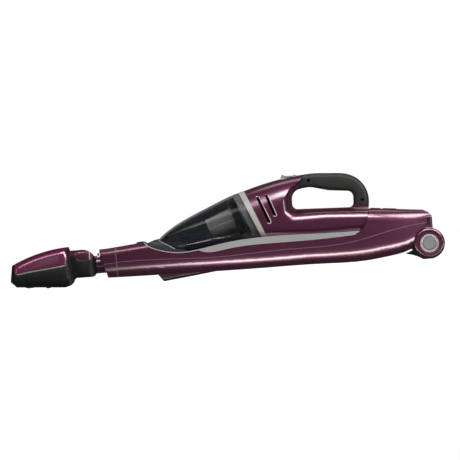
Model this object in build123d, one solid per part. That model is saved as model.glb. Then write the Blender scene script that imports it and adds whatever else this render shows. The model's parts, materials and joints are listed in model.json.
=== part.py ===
from build123d import *
import math
import os

# A cordless stick vacuum lying on its back, folded for storage, in millimetres.
# X runs along the stick from the floor head (-X) to the fold hinge (+X), Z is up, Y is across.
# The origin is under the middle of the whole object, on the surface that it lies on.

# Driving dimensions: overall
OVERALL_LENGTH = 729.0
HEAD_WIDTH = 250.0
WALL = 2.4
GAP = 0.4

# Fold hinge at the upper end
HINGE_RADIUS = 26.0
HINGE_X = OVERALL_LENGTH / 2 - HINGE_RADIUS
HINGE_Z = 26.0
KNUCKLE_HALF = 20.0
ARM_OUTER = 25.2
CHEEK_OUTER = 33.0
PIN_RADIUS = 5.0
BEZEL_RADIUS = 15.6
BUTTON_RADIUS = 10.4
DISH_RADIUS = 50.0

# Pitch axis of the floor head and twist axis of the neck
PITCH_X = -277.5
PITCH_Z = 36.0
HEAD_TILT = 4.874
BARREL_RADIUS = 27.5
NECK_HALF = 30.0
NECK_PLAN_ROUND = 22.0
TWIST_Z = 37.3
TUBE_RADIUS = 14.8
TUBE_BORE = 12.3

# Stick body
COLLAR_SEAM = -187.0
RING_HALF = 0.6
BODY_END = 346.5
CHANNEL_HALF = 18.2
CHANNEL_START = -121.0
RIM_BEAD = 1.7
TILT_X = -116.2
TILT_Z = 69.0

# Floor head, in its own frame: origin on the pitch axis, sole level
SOLE_Z = -31.5
HEAD_END_ROUND = 20.0
COVER_SET_BACK = 1.0
BRUSH_X = -54.0
BRUSH_Z = -13.0
BRISTLE_RADIUS = 20.2
CORE_RADIUS = 12.0
CHAMBER_RADIUS = 22.0
CHAMBER_LEFT = -105.0
CHAMBER_RIGHT = 93.5
PULLEY_Y = 96.5
PULLEY_WIDTH = 5.0
BRUSH_PULLEY_RADIUS = 7.0
MOTOR_PULLEY_RADIUS = 5.0
BRUSH_MOTOR_X = -10.0
BRUSH_MOTOR_Z = -14.0
WHEEL_X = -23.3
WHEEL_Z = -28.3
WHEEL_RADIUS = 5.0
WHEEL_WIDTH = 12.0
WHEEL_Y = 75.0

# Folding handle: its tube runs from the hinge axis to the grip
HANDLE_SLOPE = 1.32
HANDLE_TUBE_HALF_HEIGHT = 7.0
HANDLE_TUBE_HALF_WIDTH = 11.0
GRIP_HALF = 16.5

# Buttons on the sloping top of the upper end
TOP_SLOPE = 6.34
RELEASE_X = 253.6
MODE_X = 277.5

# Hand vacuum: pairs of points on its top and underside give the cross sections
MOUTH = ((-114.0, 70.0), (-85.0, 51.2))
CUP_SECTIONS = (
    (MOUTH[0], MOUTH[1], 28.0, 10.0),
    ((-85.5, 90.5), (-60.0, 44.0), 35.0, 21.0),
    ((-45.5, 109.5), (-25.0, 42.5), 42.0, 33.0),
    ((-5.5, 126.0), (17.0, 42.0), 46.5, 41.0),
    ((26.5, 137.0), (66.5, 42.0), 48.5, 46.0),
)
RING_END = ((36.0, 139.5), (75.0, 42.0))
HOUSING_SECTIONS = (
    (RING_END[0], RING_END[1], 48.5, 45.0, 40.0),
    ((74.5, 149.6), (100.0, 42.5), 48.5, 44.0, 34.0),
    ((112.0, 156.2), (128.0, 43.0), 48.0, 42.0, 28.0),
    ((150.0, 159.3), (156.0, 44.0), 47.0, 40.0, 24.0),
    ((195.0, 158.0), (195.0, 45.5), 45.5, 38.0, 22.0),
    ((250.0, 158.0), (250.0, 49.0), 42.5, 36.0, 20.0),
)
CORE_HALF = 17.0
RIM_X = 112.0
RIM_HALF = 48.65
SCOOP_REACH = 24.0
SHOULDER_RADIUS = 20.0
SHOULDER_TURN = 65.0
HOUSING_TAPER = 2.1
LOOP_ROUND = 8.0
CUP_WALL = 2.2
FAN_AXIS_START = (55.5, 90.7)
FLAP_X = -68.8
FLAP_Z = 62.6


def outline(*points, radius=0.0):
    if radius == 0.0:
        return make_face(Polyline(*points, close=True))
    return make_face(FilletPolyline(*points, radius=radius, close=True))


def between(sketch, y_low, y_high):
    plane = Plane((0, y_high, 0), x_dir=(1, 0, 0), z_dir=(0, -1, 0))
    return extrude(plane * sketch, amount=y_high - y_low)


def across(sketch, half):
    return between(sketch, -half, half)


def rod_y(x, z, radius, y_low, y_high):
    return between(Pos(x, z) * Circle(radius), y_low, y_high)


def rod_x(z, radius, x_low, x_high):
    plane = Plane((x_low, 0, 0), x_dir=(0, 1, 0), z_dir=(1, 0, 0))
    return extrude(plane * Pos(0, z) * Circle(radius), amount=x_high - x_low)


def box(x_low, x_high, y_low, y_high, z_low, z_high):
    size = (x_high - x_low, y_high - y_low, z_high - z_low)
    centre = ((x_low + x_high) / 2, (y_low + y_high) / 2, (z_low + z_high) / 2)
    return Pos(*centre) * Box(*size)


def rounded_stack(face_at, half, radius):
    # faces stacked across Y, drawn in over a quarter round towards both ends
    steps = 5
    quarter = [math.radians(90.0 * step / steps) for step in range(steps + 1)]
    stops = [(half - radius * (1 - math.sin(a)), radius * (1 - math.cos(a))) for a in quarter]
    stops = [(-y, inset) for y, inset in reversed(stops)] + stops
    planes = [Plane((0, y, 0), x_dir=(1, 0, 0), z_dir=(0, -1, 0)) for y, inset in stops]
    return loft([plane * face_at(inset) for plane, (y, inset) in zip(planes, stops)], ruled=True)


def in_head(shape):
    # the floor head is drawn with its sole level and set at its resting pitch
    return Location((PITCH_X, 0, PITCH_Z), (0, HEAD_TILT, 0)) * shape


# Stick body

def body_section(x, half, top, low, round_top, chine, tuck, grow):
    # upright sides that curve in gently over the belly, turn at the chine and end in a narrower flat foot
    plane = Plane((x, 0, 0), x_dir=(0, 1, 0), z_dir=(1, 0, 0))
    side = half + grow
    belly = low + 1.48 * chine - 0.1 * grow
    lean = side - 0.28 * tuck
    turn = low + 0.52 * chine - 0.5 * grow
    foot = half - tuck + 0.7 * grow
    points = (
        (-side, top + grow), (side, top + grow), (side, belly), (lean, turn), (foot, low - grow),
        (-foot, low - grow), (-lean, turn), (-side, belly),
    )
    half_radii = (round_top, 3.0 * chine, 0.9 * chine, 6.0)
    radii = [value + 0.8 * grow for value in half_radii]
    return plane * outline(*points, radius=[radii[0]] + radii + radii[:0:-1])


def body_form(grow=0.0):
    stations = (
        (-216.0, 27.0, 62.4, 14.4, 12.0, 15.0, 9.0),
        (-187.0, 28.5, 64.0, 13.4, 12.5, 15.0, 9.0),
        (-135.0, 33.0, 68.6, 12.0, 14.0, 14.0, 10.0),
        (-80.0, 41.0, 73.0, 10.8, 16.0, 13.5, 11.0),
        (-20.0, 48.0, 78.0, 9.5, 18.0, 13.0, 12.0),
        (60.0, 52.5, 84.0, 8.3, 20.0, 13.0, 12.0),
        (150.0, 53.0, 89.0, 7.2, 22.0, 13.0, 12.0),
        (234.0, 50.0, 93.0, 6.2, 22.0, 13.5, 12.0),
        (270.0, 45.5, 90.0, 10.2, 21.0, 14.0, 12.0),
        (305.0, 38.0, 86.0, 18.0, 18.0, 14.0, 11.0),
        (327.0, 32.5, 83.5, 33.0, 15.0, 12.0, 9.0),
        (BODY_END, 29.0, 81.3, 50.0, 12.0, 8.5, 8.0),
    )
    return loft([body_section(*station, grow) for station in stations])


def above_seam():
    seam = Spline(
        (-230.0, 35.8), (-165.0, 38.6), (-105.5, 37.0), (-25.5, 33.3),
        (94.5, 36.0), (214.5, 40.0), (264.5, 50.5), (360.0, 60.5),
    )
    rest = Polyline((360.0, 60.5), (360.0, 200.0), (-230.0, 200.0), (-230.0, 35.8))
    return across(make_face(seam + rest), 90.0)


def recess(grow=0.0):
    # the space over the cradle rim, from the nose socket to the upper end block
    rim = Spline(
        (-140.0 - grow, 78.0), (-134.5 - grow, 64.5 - 0.5 * grow), (-115.5, 54.0 - grow),
        (-95.5, 48.5 - grow), (-73.5, 46.5 - grow), (-50.5, 48.5 - grow), (-5.5, 55.5 - grow),
        (66.5, 60.3 - grow), (144.5, 58.5 - grow), (220.0, 56.8 - grow),
    )
    wall = Spline(
        (220.0, 56.8 - grow), (227.2 + grow, 57.6 - grow), (232.2 + grow, 62.5),
        (238.2 + grow, 76.0), (243.0 + grow, 94.0), (246.5 + grow, 108.0),
    )
    rest = Polyline((246.5 + grow, 108.0), (246.5 + grow, 180.0), (-140.0 - grow, 180.0),
                    (-140.0 - grow, 78.0))
    return across(make_face(rim + wall + rest), 90.0)


def cross_section(top, underside, half, round_top, round_low, grow):
    rise = Vector(top[0] - underside[0], top[1] - underside[1])
    height = rise.length
    middle = ((top[0] + underside[0]) / 2, 0, (top[1] + underside[1]) / 2)
    plane = Plane(middle, x_dir=(0, 1, 0), z_dir=(rise.Y / height, 0, -rise.X / height))
    side = half + grow
    reach = height / 2 + grow
    points = ((-side, reach), (side, reach), (side, -reach), (-side, -reach))
    radii = [round_top + grow, round_top + grow, round_low + grow, round_low + grow]
    return plane * outline(*points, radius=radii)


def cup_form(grow=0.0):
    return loft([cross_section(top, low, half, r, r, grow) for top, low, half, r in CUP_SECTIONS])


def ring_form(grow=0.0):
    front = CUP_SECTIONS[-1]
    back = HOUSING_SECTIONS[0]
    first = cross_section(front[0], front[1], front[2], front[3], front[3], grow)
    last = cross_section(back[0], back[1], back[2], back[3], back[4], grow)
    return loft([first, last])


def hand_side(grow=0.0):
    # side view of the hand vacuum behind the ring, handle loop included
    back = Spline(
        (131.5, 158.6 + grow), (155.0, 159.4 + grow), (184.5, 157.3 + grow), (209.5, 154.0 + grow),
        (227.5 + 0.7 * grow, 144.5 + 0.7 * grow), (239.5 + grow, 129.0), (244.0 + grow, 110.0),
        (242.0 + grow, 93.0), (237.3 + grow, 76.0), (231.4 + grow, 62.9),
        (214.5 + 0.5 * grow, 50.5 - 0.5 * grow),
    )
    rest = Polyline((214.5 + 0.5 * grow, 50.5 - 0.5 * grow), (195.0, 30.0), (20.0, 30.0), (20.0, 175.0),
                    (131.5, 175.0), (131.5, 158.6 + grow))
    return make_face(back + rest)


def housing_form(grow=0.0):
    sections = [cross_section(*section, grow) for section in HOUSING_SECTIONS]
    return loft(sections) & across(hand_side(grow), 90.0)


def hand_form(grow):
    return cup_form(grow) + ring_form(grow) + housing_form(grow)


def strip_region():
    edge = Spline((-50.5, 48.4), (-35.5, 42.6), (-5.5, 44.5), (94.5, 48.3), (194.5, 49.5), (214.5, 50.6))
    rest = Polyline((214.5, 50.6), (225.5, 57.2), (225.5, 75.0), (-50.5, 75.0), (-50.5, 48.4))
    return across(make_face(edge + rest), 90.0)


def trim_region():
    # each grey strip runs on towards the nose as a thin bead along the cradle rim
    return strip_region() + (recess(RIM_BEAD) & box(-150.0, -44.0, -90.0, 90.0, 0.0, 200.0))


def handle_line(x):
    return HINGE_Z - (HINGE_X - x) * math.tan(math.radians(HANDLE_SLOPE))


def channel(grow, floor):
    top = HANDLE_TUBE_HALF_HEIGHT + 1.8 + grow
    start = CHANNEL_START - grow
    end = HINGE_X - 8.0
    side = outline((start, floor), (end, floor), (end, handle_line(end) + top),
                   (start, handle_line(start) + top))
    return across(side, CHANNEL_HALF + grow)


def end_cap_space(grow=0.0):
    return box(BODY_END - 9.0 - grow, BODY_END + 5.0, -60.0, 60.0, 44.0, 70.6 + grow)


def end_chamfer():
    return across(outline((330.5, 84.2), (341.5, 77.6), (345.0, 73.6), (347.2, 68.0), (370.0, 68.0),
                          (370.0, 120.0), (330.5, 120.0)), 90.0)


def hinge_space():
    knuckle = rod_y(HINGE_X, HINGE_Z, HINGE_RADIUS + 1.4, -KNUCKLE_HALF - 0.6, KNUCKLE_HALF + 0.6)
    left = rod_y(HINGE_X, HINGE_Z, HINGE_RADIUS + GAP, -60.0, -KNUCKLE_HALF - 0.6)
    right = rod_y(HINGE_X, HINGE_Z, HINGE_RADIUS + GAP, KNUCKLE_HALF + 0.6, 60.0)
    root = across(outline((HINGE_X - 60.0, -5.0), (HINGE_X, -5.0), (HINGE_X, 30.0),
                          (HINGE_X - 60.0, 36.0)), CHANNEL_HALF)
    return knuckle + left + right + root


def on_top(x, shape):
    # sets a shape, drawn about the origin, on the sloping top of the upper end
    height = 93.0 - (x - 242.5) * math.tan(math.radians(TOP_SLOPE))
    return Location((x, 0, height), (0, TOP_SLOPE, 0)) * shape


def button_shape(length, width, skirt):
    cap = extrude(RectangleRounded(length, width, 3.0), amount=0.9)
    stem = extrude(RectangleRounded(length, width, 3.0), amount=-skirt)
    flange = Pos(0, 0, -skirt) * extrude(RectangleRounded(length, width + 4.0, 3.0), amount=-1.6)
    return cap + stem + flange


def button_hole(length, width):
    return extrude(RectangleRounded(length + 0.8, width + 0.8, 3.4), amount=8.0, both=True)


def socket_block(grow=0.0):
    side = outline((-136.0 - grow, 25.0 - grow), (-124.6 + grow, 25.0 - grow), (-124.6 + grow, 31.4 - grow),
                   (-98.0 + grow, 31.4 - grow), (-90.0 + grow, 56.0), (-136.0 - grow, 60.0))
    return across(side, 17.0 + grow)


def upper_shell(form, void):
    shell = form & above_seam()
    shell = shell - box(-300.0, COLLAR_SEAM + RING_HALF, -90.0, 90.0, 0.0, 200.0)
    shell = shell - (void - recess(WALL) - hand_form(0.8 + WALL))
    shell = shell - recess() - hand_form(0.8)
    shell = shell - (trim_region() - body_form(-1.2))
    shell = shell - socket_block(0.15) - end_cap_space() - end_chamfer() - hinge_space()
    shell = shell - on_top(RELEASE_X, button_hole(17.0, 24.0)) - on_top(MODE_X, button_hole(22.0, 24.0))
    return shell


def lower_shell(form, void):
    below = form - above_seam() - box(-300.0, COLLAR_SEAM + RING_HALF, -90.0, 90.0, 0.0, 200.0)
    shell = (below - void) + (below & channel(WALL, 0.0))
    shell = shell - channel(0.0, -10.0) - hinge_space() - end_cap_space() - end_chamfer()
    for x, y in SHELL_SCREWS:
        shell = shell - Pos(x, y, 0) * Cylinder(3.2, 40.0)
    return shell


SHELL_SCREWS = (
    (20.0, -30.0), (20.0, 30.0), (120.0, -31.0), (120.0, 31.0), (215.0, -29.0), (215.0, 29.0),
)


def shell_screws():
    screws = []
    for x, y in SHELL_SCREWS:
        head = Pos(x, y, 15.0) * Cylinder(3.0, 2.4)
        shank = Pos(x, y, 22.6) * Cylinder(1.5, 13.0)
        slot = Pos(x, y, 13.9) * Box(4.4, 0.9, 1.0) + Pos(x, y, 13.9) * Box(0.9, 4.4, 1.0)
        screws.append(head + shank - slot)
    return Compound(children=[screw.solid() for screw in screws])


def trims(form_out, form_in):
    bands = (trim_region() & form_out) - form_in - recess()
    left = bands & box(-300.0, 300.0, -90.0, 0.0, 0.0, 200.0)
    right = bands & box(-300.0, 300.0, 0.0, 90.0, 0.0, 200.0)
    return left, right


def collar_ring():
    slice_box = box(COLLAR_SEAM - RING_HALF, COLLAR_SEAM + RING_HALF, -90.0, 90.0, 0.0, 200.0)
    return (body_form(0.2) & slice_box) - body_form(-1.6)


def neck_collar(form):
    end = across(outline((-260.0, 100.0), (-216.2, 100.0), (-214.0, 55.0), (-203.0, 14.0), (-200.0, 0.0),
                         (-260.0, 0.0)), 60.0)
    collar = form - end - box(COLLAR_SEAM - RING_HALF, 400.0, -90.0, 90.0, -10.0, 200.0)
    collar = collar - rod_x(TWIST_Z, TUBE_RADIUS + 0.6, -230.0, -150.0)
    return collar - rod_x(TWIST_Z, TUBE_RADIUS + 3.2, -200.0, -150.0)


def swivel_bush():
    ring = rod_x(TWIST_Z, TUBE_RADIUS + 3.2, -200.0, COLLAR_SEAM - 0.2)
    return ring - rod_x(TWIST_Z, TUBE_RADIUS + 0.08, -210.0, -150.0)


def air_duct():
    tube = rod_x(TWIST_Z, TUBE_RADIUS + 2.4, -177.0, -136.2)
    return tube - rod_x(TWIST_Z, TUBE_RADIUS + 0.4, -190.0, -138.0) - rod_x(42.0, 9.5, -140.0, -130.0)


def nose_socket():
    side = outline((-139.0, 65.6), (-131.0, 67.0), (-125.0, 68.9), (-119.6, 70.8), (-115.2, 70.2),
                   (-88.6, 52.6), (-66.0, 49.0), (-66.0, 44.0), (-100.0, 44.0), (-139.0, 56.0))
    plan = outline((-140.0, -29.0), (-84.0, -36.0), (-66.0, -36.0), (-66.0, 36.0), (-84.0, 36.0),
                   (-140.0, 29.0))
    arch_plane = Plane((-140.0, 0, 40.0), x_dir=(0, 1, 0), z_dir=(1, 0, 0))
    arch = extrude(arch_plane * RectangleRounded(66.0, 61.8, 13.0), amount=80.0)
    wedge = across(side, 60.0) & extrude(plan, amount=100.0) & arch & recess(-0.1)
    wedge = wedge - cup_form(GAP)
    block = socket_block() - recess(-6.0)
    bore = rod_x(42.0, 9.5, -150.0, -112.0)
    normal = Vector(MOUTH[0][1] - MOUTH[1][1], 0, MOUTH[1][0] - MOUTH[0][0]).normalized()
    centre = Vector((MOUTH[0][0] + MOUTH[1][0]) / 2, 0, (MOUTH[0][1] + MOUTH[1][1]) / 2)
    mouth = extrude(Plane(centre + normal * 4, x_dir=(0, 1, 0), z_dir=-normal) * Circle(9.8), amount=29.0)
    groove = rod_y(TILT_X, TILT_Z, 3.0, -15.0, 15.0)
    return wedge + block - bore - mouth - groove


def end_cap():
    side = outline((BODY_END - 8.8, 48.0), (BODY_END, 48.0), (BODY_END, 70.3), (BODY_END - 8.8, 70.3))
    cap = across(side, 24.0)
    corners = cap.edges().filter_by(Axis.Z).filter_by(lambda e: e.center().X > BODY_END - 2.0)
    cap = fillet(corners, 4.0) - hinge_space()
    return cap - rod_x(62.5, 5.2, 300.0, 400.0)


def charge_jack():
    sleeve = rod_x(62.5, 5.2, BODY_END - 13.0, BODY_END)
    return sleeve - rod_x(62.5, 2.85, BODY_END - 10.0, BODY_END + 1.0)


# Fold hinge

def hinge_bracket():
    arm = outline((HINGE_X, HINGE_Z + 24.0), (HINGE_X - 52.0, 64.0), (HINGE_X - 52.0, 42.0),
                  (HINGE_X - 22.0, HINGE_Z + 10.0))
    plate = None
    for low, high in ((-ARM_OUTER, -KNUCKLE_HALF - 0.6), (KNUCKLE_HALF + 0.6, ARM_OUTER)):
        side = between(arm, low, high) + rod_y(HINGE_X, HINGE_Z, HINGE_RADIUS - 1.4, low, high)
        plate = side if plate is None else plate + side
    bridge = box(HINGE_X - 52.0, HINGE_X - 47.0, -ARM_OUTER, ARM_OUTER, 42.0, 64.0)
    return plate + bridge - rod_y(HINGE_X, HINGE_Z, PIN_RADIUS, -60.0, 60.0)


def hinge_cheek(side):
    low, high = sorted((side * ARM_OUTER, side * CHEEK_OUTER))
    cheek = rod_y(HINGE_X, HINGE_Z, HINGE_RADIUS, low, high)
    rim = cheek.edges().filter_by(GeomType.CIRCLE).sort_by(Axis.Y)
    cheek = fillet([rim[-1] if side > 0 else rim[0]], 4.5)
    groove_low, groove_high = sorted((side * (CHEEK_OUTER - 1.2), side * (CHEEK_OUTER + 1.0)))
    groove = rod_y(HINGE_X, HINGE_Z, 20.6, groove_low, groove_high)
    groove = groove - rod_y(HINGE_X, HINGE_Z, 18.9, -60.0, 60.0)
    seat_low, seat_high = sorted((side * (CHEEK_OUTER - 1.6), side * (CHEEK_OUTER + 1.0)))
    seat = rod_y(HINGE_X, HINGE_Z, BEZEL_RADIUS, seat_low, seat_high)
    return cheek - groove - seat - rod_y(HINGE_X, HINGE_Z, BUTTON_RADIUS + 0.3, -60.0, 60.0)


def hinge_bezel(side):
    low, high = sorted((side * (CHEEK_OUTER - 1.6), side * (CHEEK_OUTER + 0.8)))
    ring = rod_y(HINGE_X, HINGE_Z, BEZEL_RADIUS, low, high)
    plane = Plane((HINGE_X, side * (CHEEK_OUTER - 1.0), HINGE_Z), x_dir=(1, 0, 0), z_dir=(0, side, 0))
    funnel = loft([plane * Circle(BUTTON_RADIUS), plane.offset(3.0) * Circle(BEZEL_RADIUS + 0.6)])
    return ring - funnel - rod_y(HINGE_X, HINGE_Z, BUTTON_RADIUS + 0.3, -60.0, 60.0)


def finger_dish(side):
    return Pos(HINGE_X, side * (CHEEK_OUTER + DISH_RADIUS + 0.3), HINGE_Z) * Sphere(DISH_RADIUS)


def hinge_button():
    button = rod_y(HINGE_X, HINGE_Z, BUTTON_RADIUS, -CHEEK_OUTER - 1.2, -ARM_OUTER - 3.6)
    face = button.edges().filter_by(GeomType.CIRCLE).sort_by(Axis.Y)[0]
    return chamfer([face], 0.6) - finger_dish(-1)


def hinge_cap():
    cap = rod_y(HINGE_X, HINGE_Z, BUTTON_RADIUS + 0.3, ARM_OUTER + 1.0, CHEEK_OUTER + 1.0)
    face = cap.edges().filter_by(GeomType.CIRCLE).sort_by(Axis.Y)[-1]
    return chamfer([face], 0.6) - finger_dish(1)


def hinge_pin():
    return rod_y(HINGE_X, HINGE_Z, PIN_RADIUS, -ARM_OUTER, ARM_OUTER)


# Folding handle

def handle_tube_form(grow, x_low, x_high):
    plane = Plane((HINGE_X, 0, HINGE_Z), x_dir=(0, 1, 0), z_dir=(1, 0, math.tan(math.radians(HANDLE_SLOPE))))
    width = 2 * (HANDLE_TUBE_HALF_WIDTH + grow)
    height = 2 * (HANDLE_TUBE_HALF_HEIGHT + grow)
    section = RectangleRounded(width, height, 5.0 + grow)
    length = (HINGE_X - x_low) / math.cos(math.radians(HANDLE_SLOPE))
    skip = (HINGE_X - x_high) / math.cos(math.radians(HANDLE_SLOPE))
    return extrude(plane.offset(-length) * section, amount=length - skip)


def handle_knuckle():
    drum = rod_y(HINGE_X, HINGE_Z, HINGE_RADIUS - 1.0, -KNUCKLE_HALF, KNUCKLE_HALF)
    foot = across(outline((HINGE_X - 14.0, 1.2), (HINGE_X - 11.5, 0.0), (HINGE_X + 5.0, 0.0),
                          (HINGE_X + 8.0, 1.4), (HINGE_X, HINGE_Z), (HINGE_X - 18.0, 12.0)), KNUCKLE_HALF)
    tail = across(outline((297.5, 11.8), (309.5, 8.6), (318.5, 5.0), (325.0, 1.2), (HINGE_X, 4.0),
                          (HINGE_X, HINGE_Z), (318.0, 32.0), (313.0, 32.0), (309.5, 16.2)), 14.0)
    knuckle = drum + foot + tail
    knuckle = knuckle - handle_tube_form(0.0, 200.0, HINGE_X - 14.0)
    return knuckle - rod_y(HINGE_X, HINGE_Z, PIN_RADIUS + 0.05, -60.0, 60.0)


def handle_tube():
    tube = handle_tube_form(0.0, -60.0, HINGE_X - 14.0)
    return tube - handle_tube_form(-1.6, -70.0, HINGE_X)


def handle_grip():
    # flared end of the handle, whose heel stands proud of the stick's underside
    top = handle_line(-30.0) + HANDLE_TUBE_HALF_HEIGHT + 0.8
    side = outline((-119.4, 12.4), (-111.2, 0.6), (-109.0, 0.0), (-60.0, 5.0), (-12.0, 10.6), (6.0, 12.6),
                   (6.0, top), (-30.0, top), (-104.0, top - 2.4), (-117.6, top - 4.0))
    grip = across(side, GRIP_HALF)
    side_edges = grip.edges().filter_by(lambda e: abs(abs(e.center().Y) - GRIP_HALF) < 0.1)
    grip = fillet(side_edges.filter_by(lambda e: e.length > 15.0), 4.0)
    return grip - handle_tube_form(0.0, -60.0, 60.0)


# Neck

def neck_side(grow=0.0):
    crest = 64.5 + grow
    bottom = 18.0 - grow
    hood = ThreePointArc((-243.0, crest), (-229.6 + 0.7 * grow, 58.8 + 0.7 * grow), (-222.4 + grow, 48.6))
    rest = Polyline((-222.4 + grow, 48.6), (-219.8 + grow, 43.0), (-219.5 + grow, 31.0),
                    (-220.6 + grow, 25.0), (-225.0 + grow, 19.0 - 0.5 * grow), (-229.0, bottom - 0.4),
                    (-262.0, bottom), (PITCH_X, bottom), (PITCH_X, PITCH_Z + BARREL_RADIUS + grow),
                    (-262.0, crest), (-243.0, crest))
    return make_face(hood + rest)


def neck_form(grow=0.0):
    half = NECK_HALF + grow
    stem = across(neck_side(grow), half - 3.0)
    width = 2 * (half - 3.0)
    plan = Pos(-319.5 + grow, 0) * RectangleRounded(200.0, width, NECK_PLAN_ROUND + grow)
    section_plane = Plane((-300.0, 0, 41.0), x_dir=(0, 1, 0), z_dir=(1, 0, 0))
    section = section_plane * RectangleRounded(width, 47.0 + 2 * grow, 9.0 + grow)
    stem = stem & extrude(plan, amount=100.0) & extrude(section, amount=100.0)
    barrel = rod_y(PITCH_X, PITCH_Z, BARREL_RADIUS + grow, -half, half)
    return stem + barrel


def hood_outline():
    return outline((-200.0, 46.6), (-248.0, 47.2), (-256.0, 52.4), (-266.0, 58.5), (-320.0, 61.0),
                   (-320.0, 90.0), (-200.0, 90.0))


def stem_sides():
    # the outer skin of the stem's two sides, over which the hood is set back
    half = NECK_HALF - 3.0 - COVER_SET_BACK
    return box(-258.0, -200.0, -60.0, 60.0, 0.0, 90.0) - box(-260.0, -198.0, -half, half, -1.0, 91.0)


def neck_shell():
    shell = neck_form() - neck_form(-2.6)
    shell = shell - rod_x(TWIST_Z, TUBE_RADIUS, -236.0, -200.0)
    window = box(PITCH_X - 32.0, PITCH_X - 14.0, -21.0, 21.0, PITCH_Z - 24.0, PITCH_Z + 12.0)
    return shell - window


def neck_cover():
    return (neck_shell() & across(hood_outline(), 60.0)) - stem_sides()


def neck_base():
    base = neck_shell() - across(hood_outline(), 60.0)
    base = base - (rim_chamfer(hood_outline(), NECK_HALF - 3.0 - COVER_SET_BACK) & stem_sides())
    for side in (-1, 1):
        low, high = sorted((side * (NECK_HALF - 3.0), side * (NECK_HALF + 5.2)))
        base = base + rod_y(PITCH_X, PITCH_Z, 6.0, low, high)
    return base


def swivel_tube():
    tube = rod_x(TWIST_Z, TUBE_RADIUS, -232.0, -160.0) + rod_x(TWIST_Z, TUBE_RADIUS + 2.6, -186.0, -182.5)
    tube = tube - rod_x(TWIST_Z, TUBE_BORE, -240.0, -150.0)
    return tube - box(-218.9, -214.9, -7.3, 7.3, 50.1, 60.0)


def neck_latch():
    tab = box(-218.6, -215.2, -7.0, 7.0, 52.0, 56.6)
    top = tab.edges().filter_by(Axis.X).filter_by(lambda e: e.center().Z > 55)
    return fillet(top, 2.0)


# Floor head, drawn with its sole level about the pitch axis

def head_side():
    crown = ThreePointArc((-83.4, 4.6), (-38.0, 25.4), (7.2, 35.8))
    back = Polyline((7.2, 35.8), (13.6, 20.0), (18.4, -15.0))
    heel = ThreePointArc((18.4, -15.0), (14.6, -26.8), (4.0, SOLE_Z))
    sole = Polyline((4.0, SOLE_Z), (-75.0, SOLE_Z), (-85.4, -22.8), (-83.4, 4.6))
    return make_face(crown + back + heel + sole)


def head_form(grow=0.0, set_back=0.0):
    def side(inset):
        shrink = grow - 0.6 * inset
        return offset(head_side(), shrink, kind=Kind.INTERSECTION) if abs(shrink) > 0.01 else head_side()

    return rounded_stack(side, HEAD_WIDTH / 2 + grow - set_back, HEAD_END_ROUND)


def cover_outline():
    return outline((-79.5, -10.8), (-52.8, -4.5), (-28.0, -0.4), (-3.4, 4.2), (8.0, 6.2), (8.0, 60.0),
                   (-79.5, 60.0))


def cover_region():
    return across(cover_outline(), 140.0)


def rim_chamfer(edge, half):
    # sloping cut round a set-back cover: it widens by two for each one outwards, from Y = half on either side
    cut = None
    for side in (-1, 1):
        planes = [Plane((0, side * y, 0), x_dir=(1, 0, 0), z_dir=(0, -1, 0)) for y in (half, half + 2.5)]
        wedge = loft([planes[0] * edge, planes[1] * offset(edge, 5.0, kind=Kind.INTERSECTION)], ruled=True)
        cut = wedge if cut is None else cut + wedge
    return cut


def neck_swing():
    # the room that the neck sweeps through as the head pitches
    swing = outline((-29.2, 0.0), (-29.2, 70.0), (50.0, 70.0), (50.0, -23.0), (0.0, -23.0), (0.0, 0.0))
    half = NECK_HALF + 0.7
    return across(swing, half) + rod_y(0, 0, BARREL_RADIUS + 0.8, -half, half)


def sole_outline(grow=0.0):
    return box(-76.0 - grow, 2.0 + grow, -106.0 - grow, 106.0 + grow, SOLE_Z - 1.0, SOLE_Z + 2.6)


def head_cover(void):
    cover = (head_form(set_back=COVER_SET_BACK) - void) & cover_region()
    return cover - neck_swing()


def chamber_wall():
    # a half pipe over the brush, between two bulkheads that run from the front wall to the back wall
    pipe = rod_y(BRUSH_X, BRUSH_Z, CHAMBER_RADIUS + 2.0, CHAMBER_LEFT, CHAMBER_RIGHT)
    pipe = pipe - rod_y(BRUSH_X, BRUSH_Z, CHAMBER_RADIUS, CHAMBER_LEFT - 1.0, CHAMBER_RIGHT + 1.0)
    pipe = pipe & box(-100.0, 20.0, -120.0, 120.0, SOLE_Z + 2.7, 40.0)
    outlet = box(-40.0, -28.0, -20.0, 20.0, -20.0, 4.0)
    floor = SOLE_Z + 2.7
    left = box(-100.0, 30.0, CHAMBER_LEFT - 2.0, CHAMBER_LEFT, floor, 2.0)
    right = box(-100.0, 30.0, CHAMBER_RIGHT, CHAMBER_RIGHT + 2.0, floor, 2.0)
    brush_hole = rod_y(BRUSH_X, BRUSH_Z, 3.06, -120.0, 120.0)
    motor_hole = rod_y(BRUSH_MOTOR_X, BRUSH_MOTOR_Z, 2.2, 60.0, 120.0)
    return pipe - outlet + left + right - brush_hole - motor_hole


def side_walls():
    # upright walls beside the neck, with the bores for its two stub pins
    floor = SOLE_Z + 2.7
    web = outline((-31.0, floor), (3.0, floor), (22.0, -24.0), (22.0, -10.0), (13.0, 5.0), (-31.0, -3.0))
    walls = None
    for low, high in ((-NECK_HALF - 4.4, -NECK_HALF - 1.0), (NECK_HALF + 1.0, NECK_HALF + 4.4)):
        boss = rod_y(0, 0, 10.0, low, high)
        wall = between(web, low, high) + boss - rod_y(0, 0, 6.05, -60.0, 60.0)
        walls = wall if walls is None else walls + wall
    return walls


def head_base(form, void):
    base = form - void - cover_region() - neck_swing() - sole_outline(0.1)
    base = base - rim_chamfer(cover_outline(), HEAD_WIDTH / 2 - COVER_SET_BACK)
    base = base + (chamber_wall() & void) + (side_walls() & void)
    for side in (-1, 1):
        base = base - wheel_pocket(side)
    return base


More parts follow.
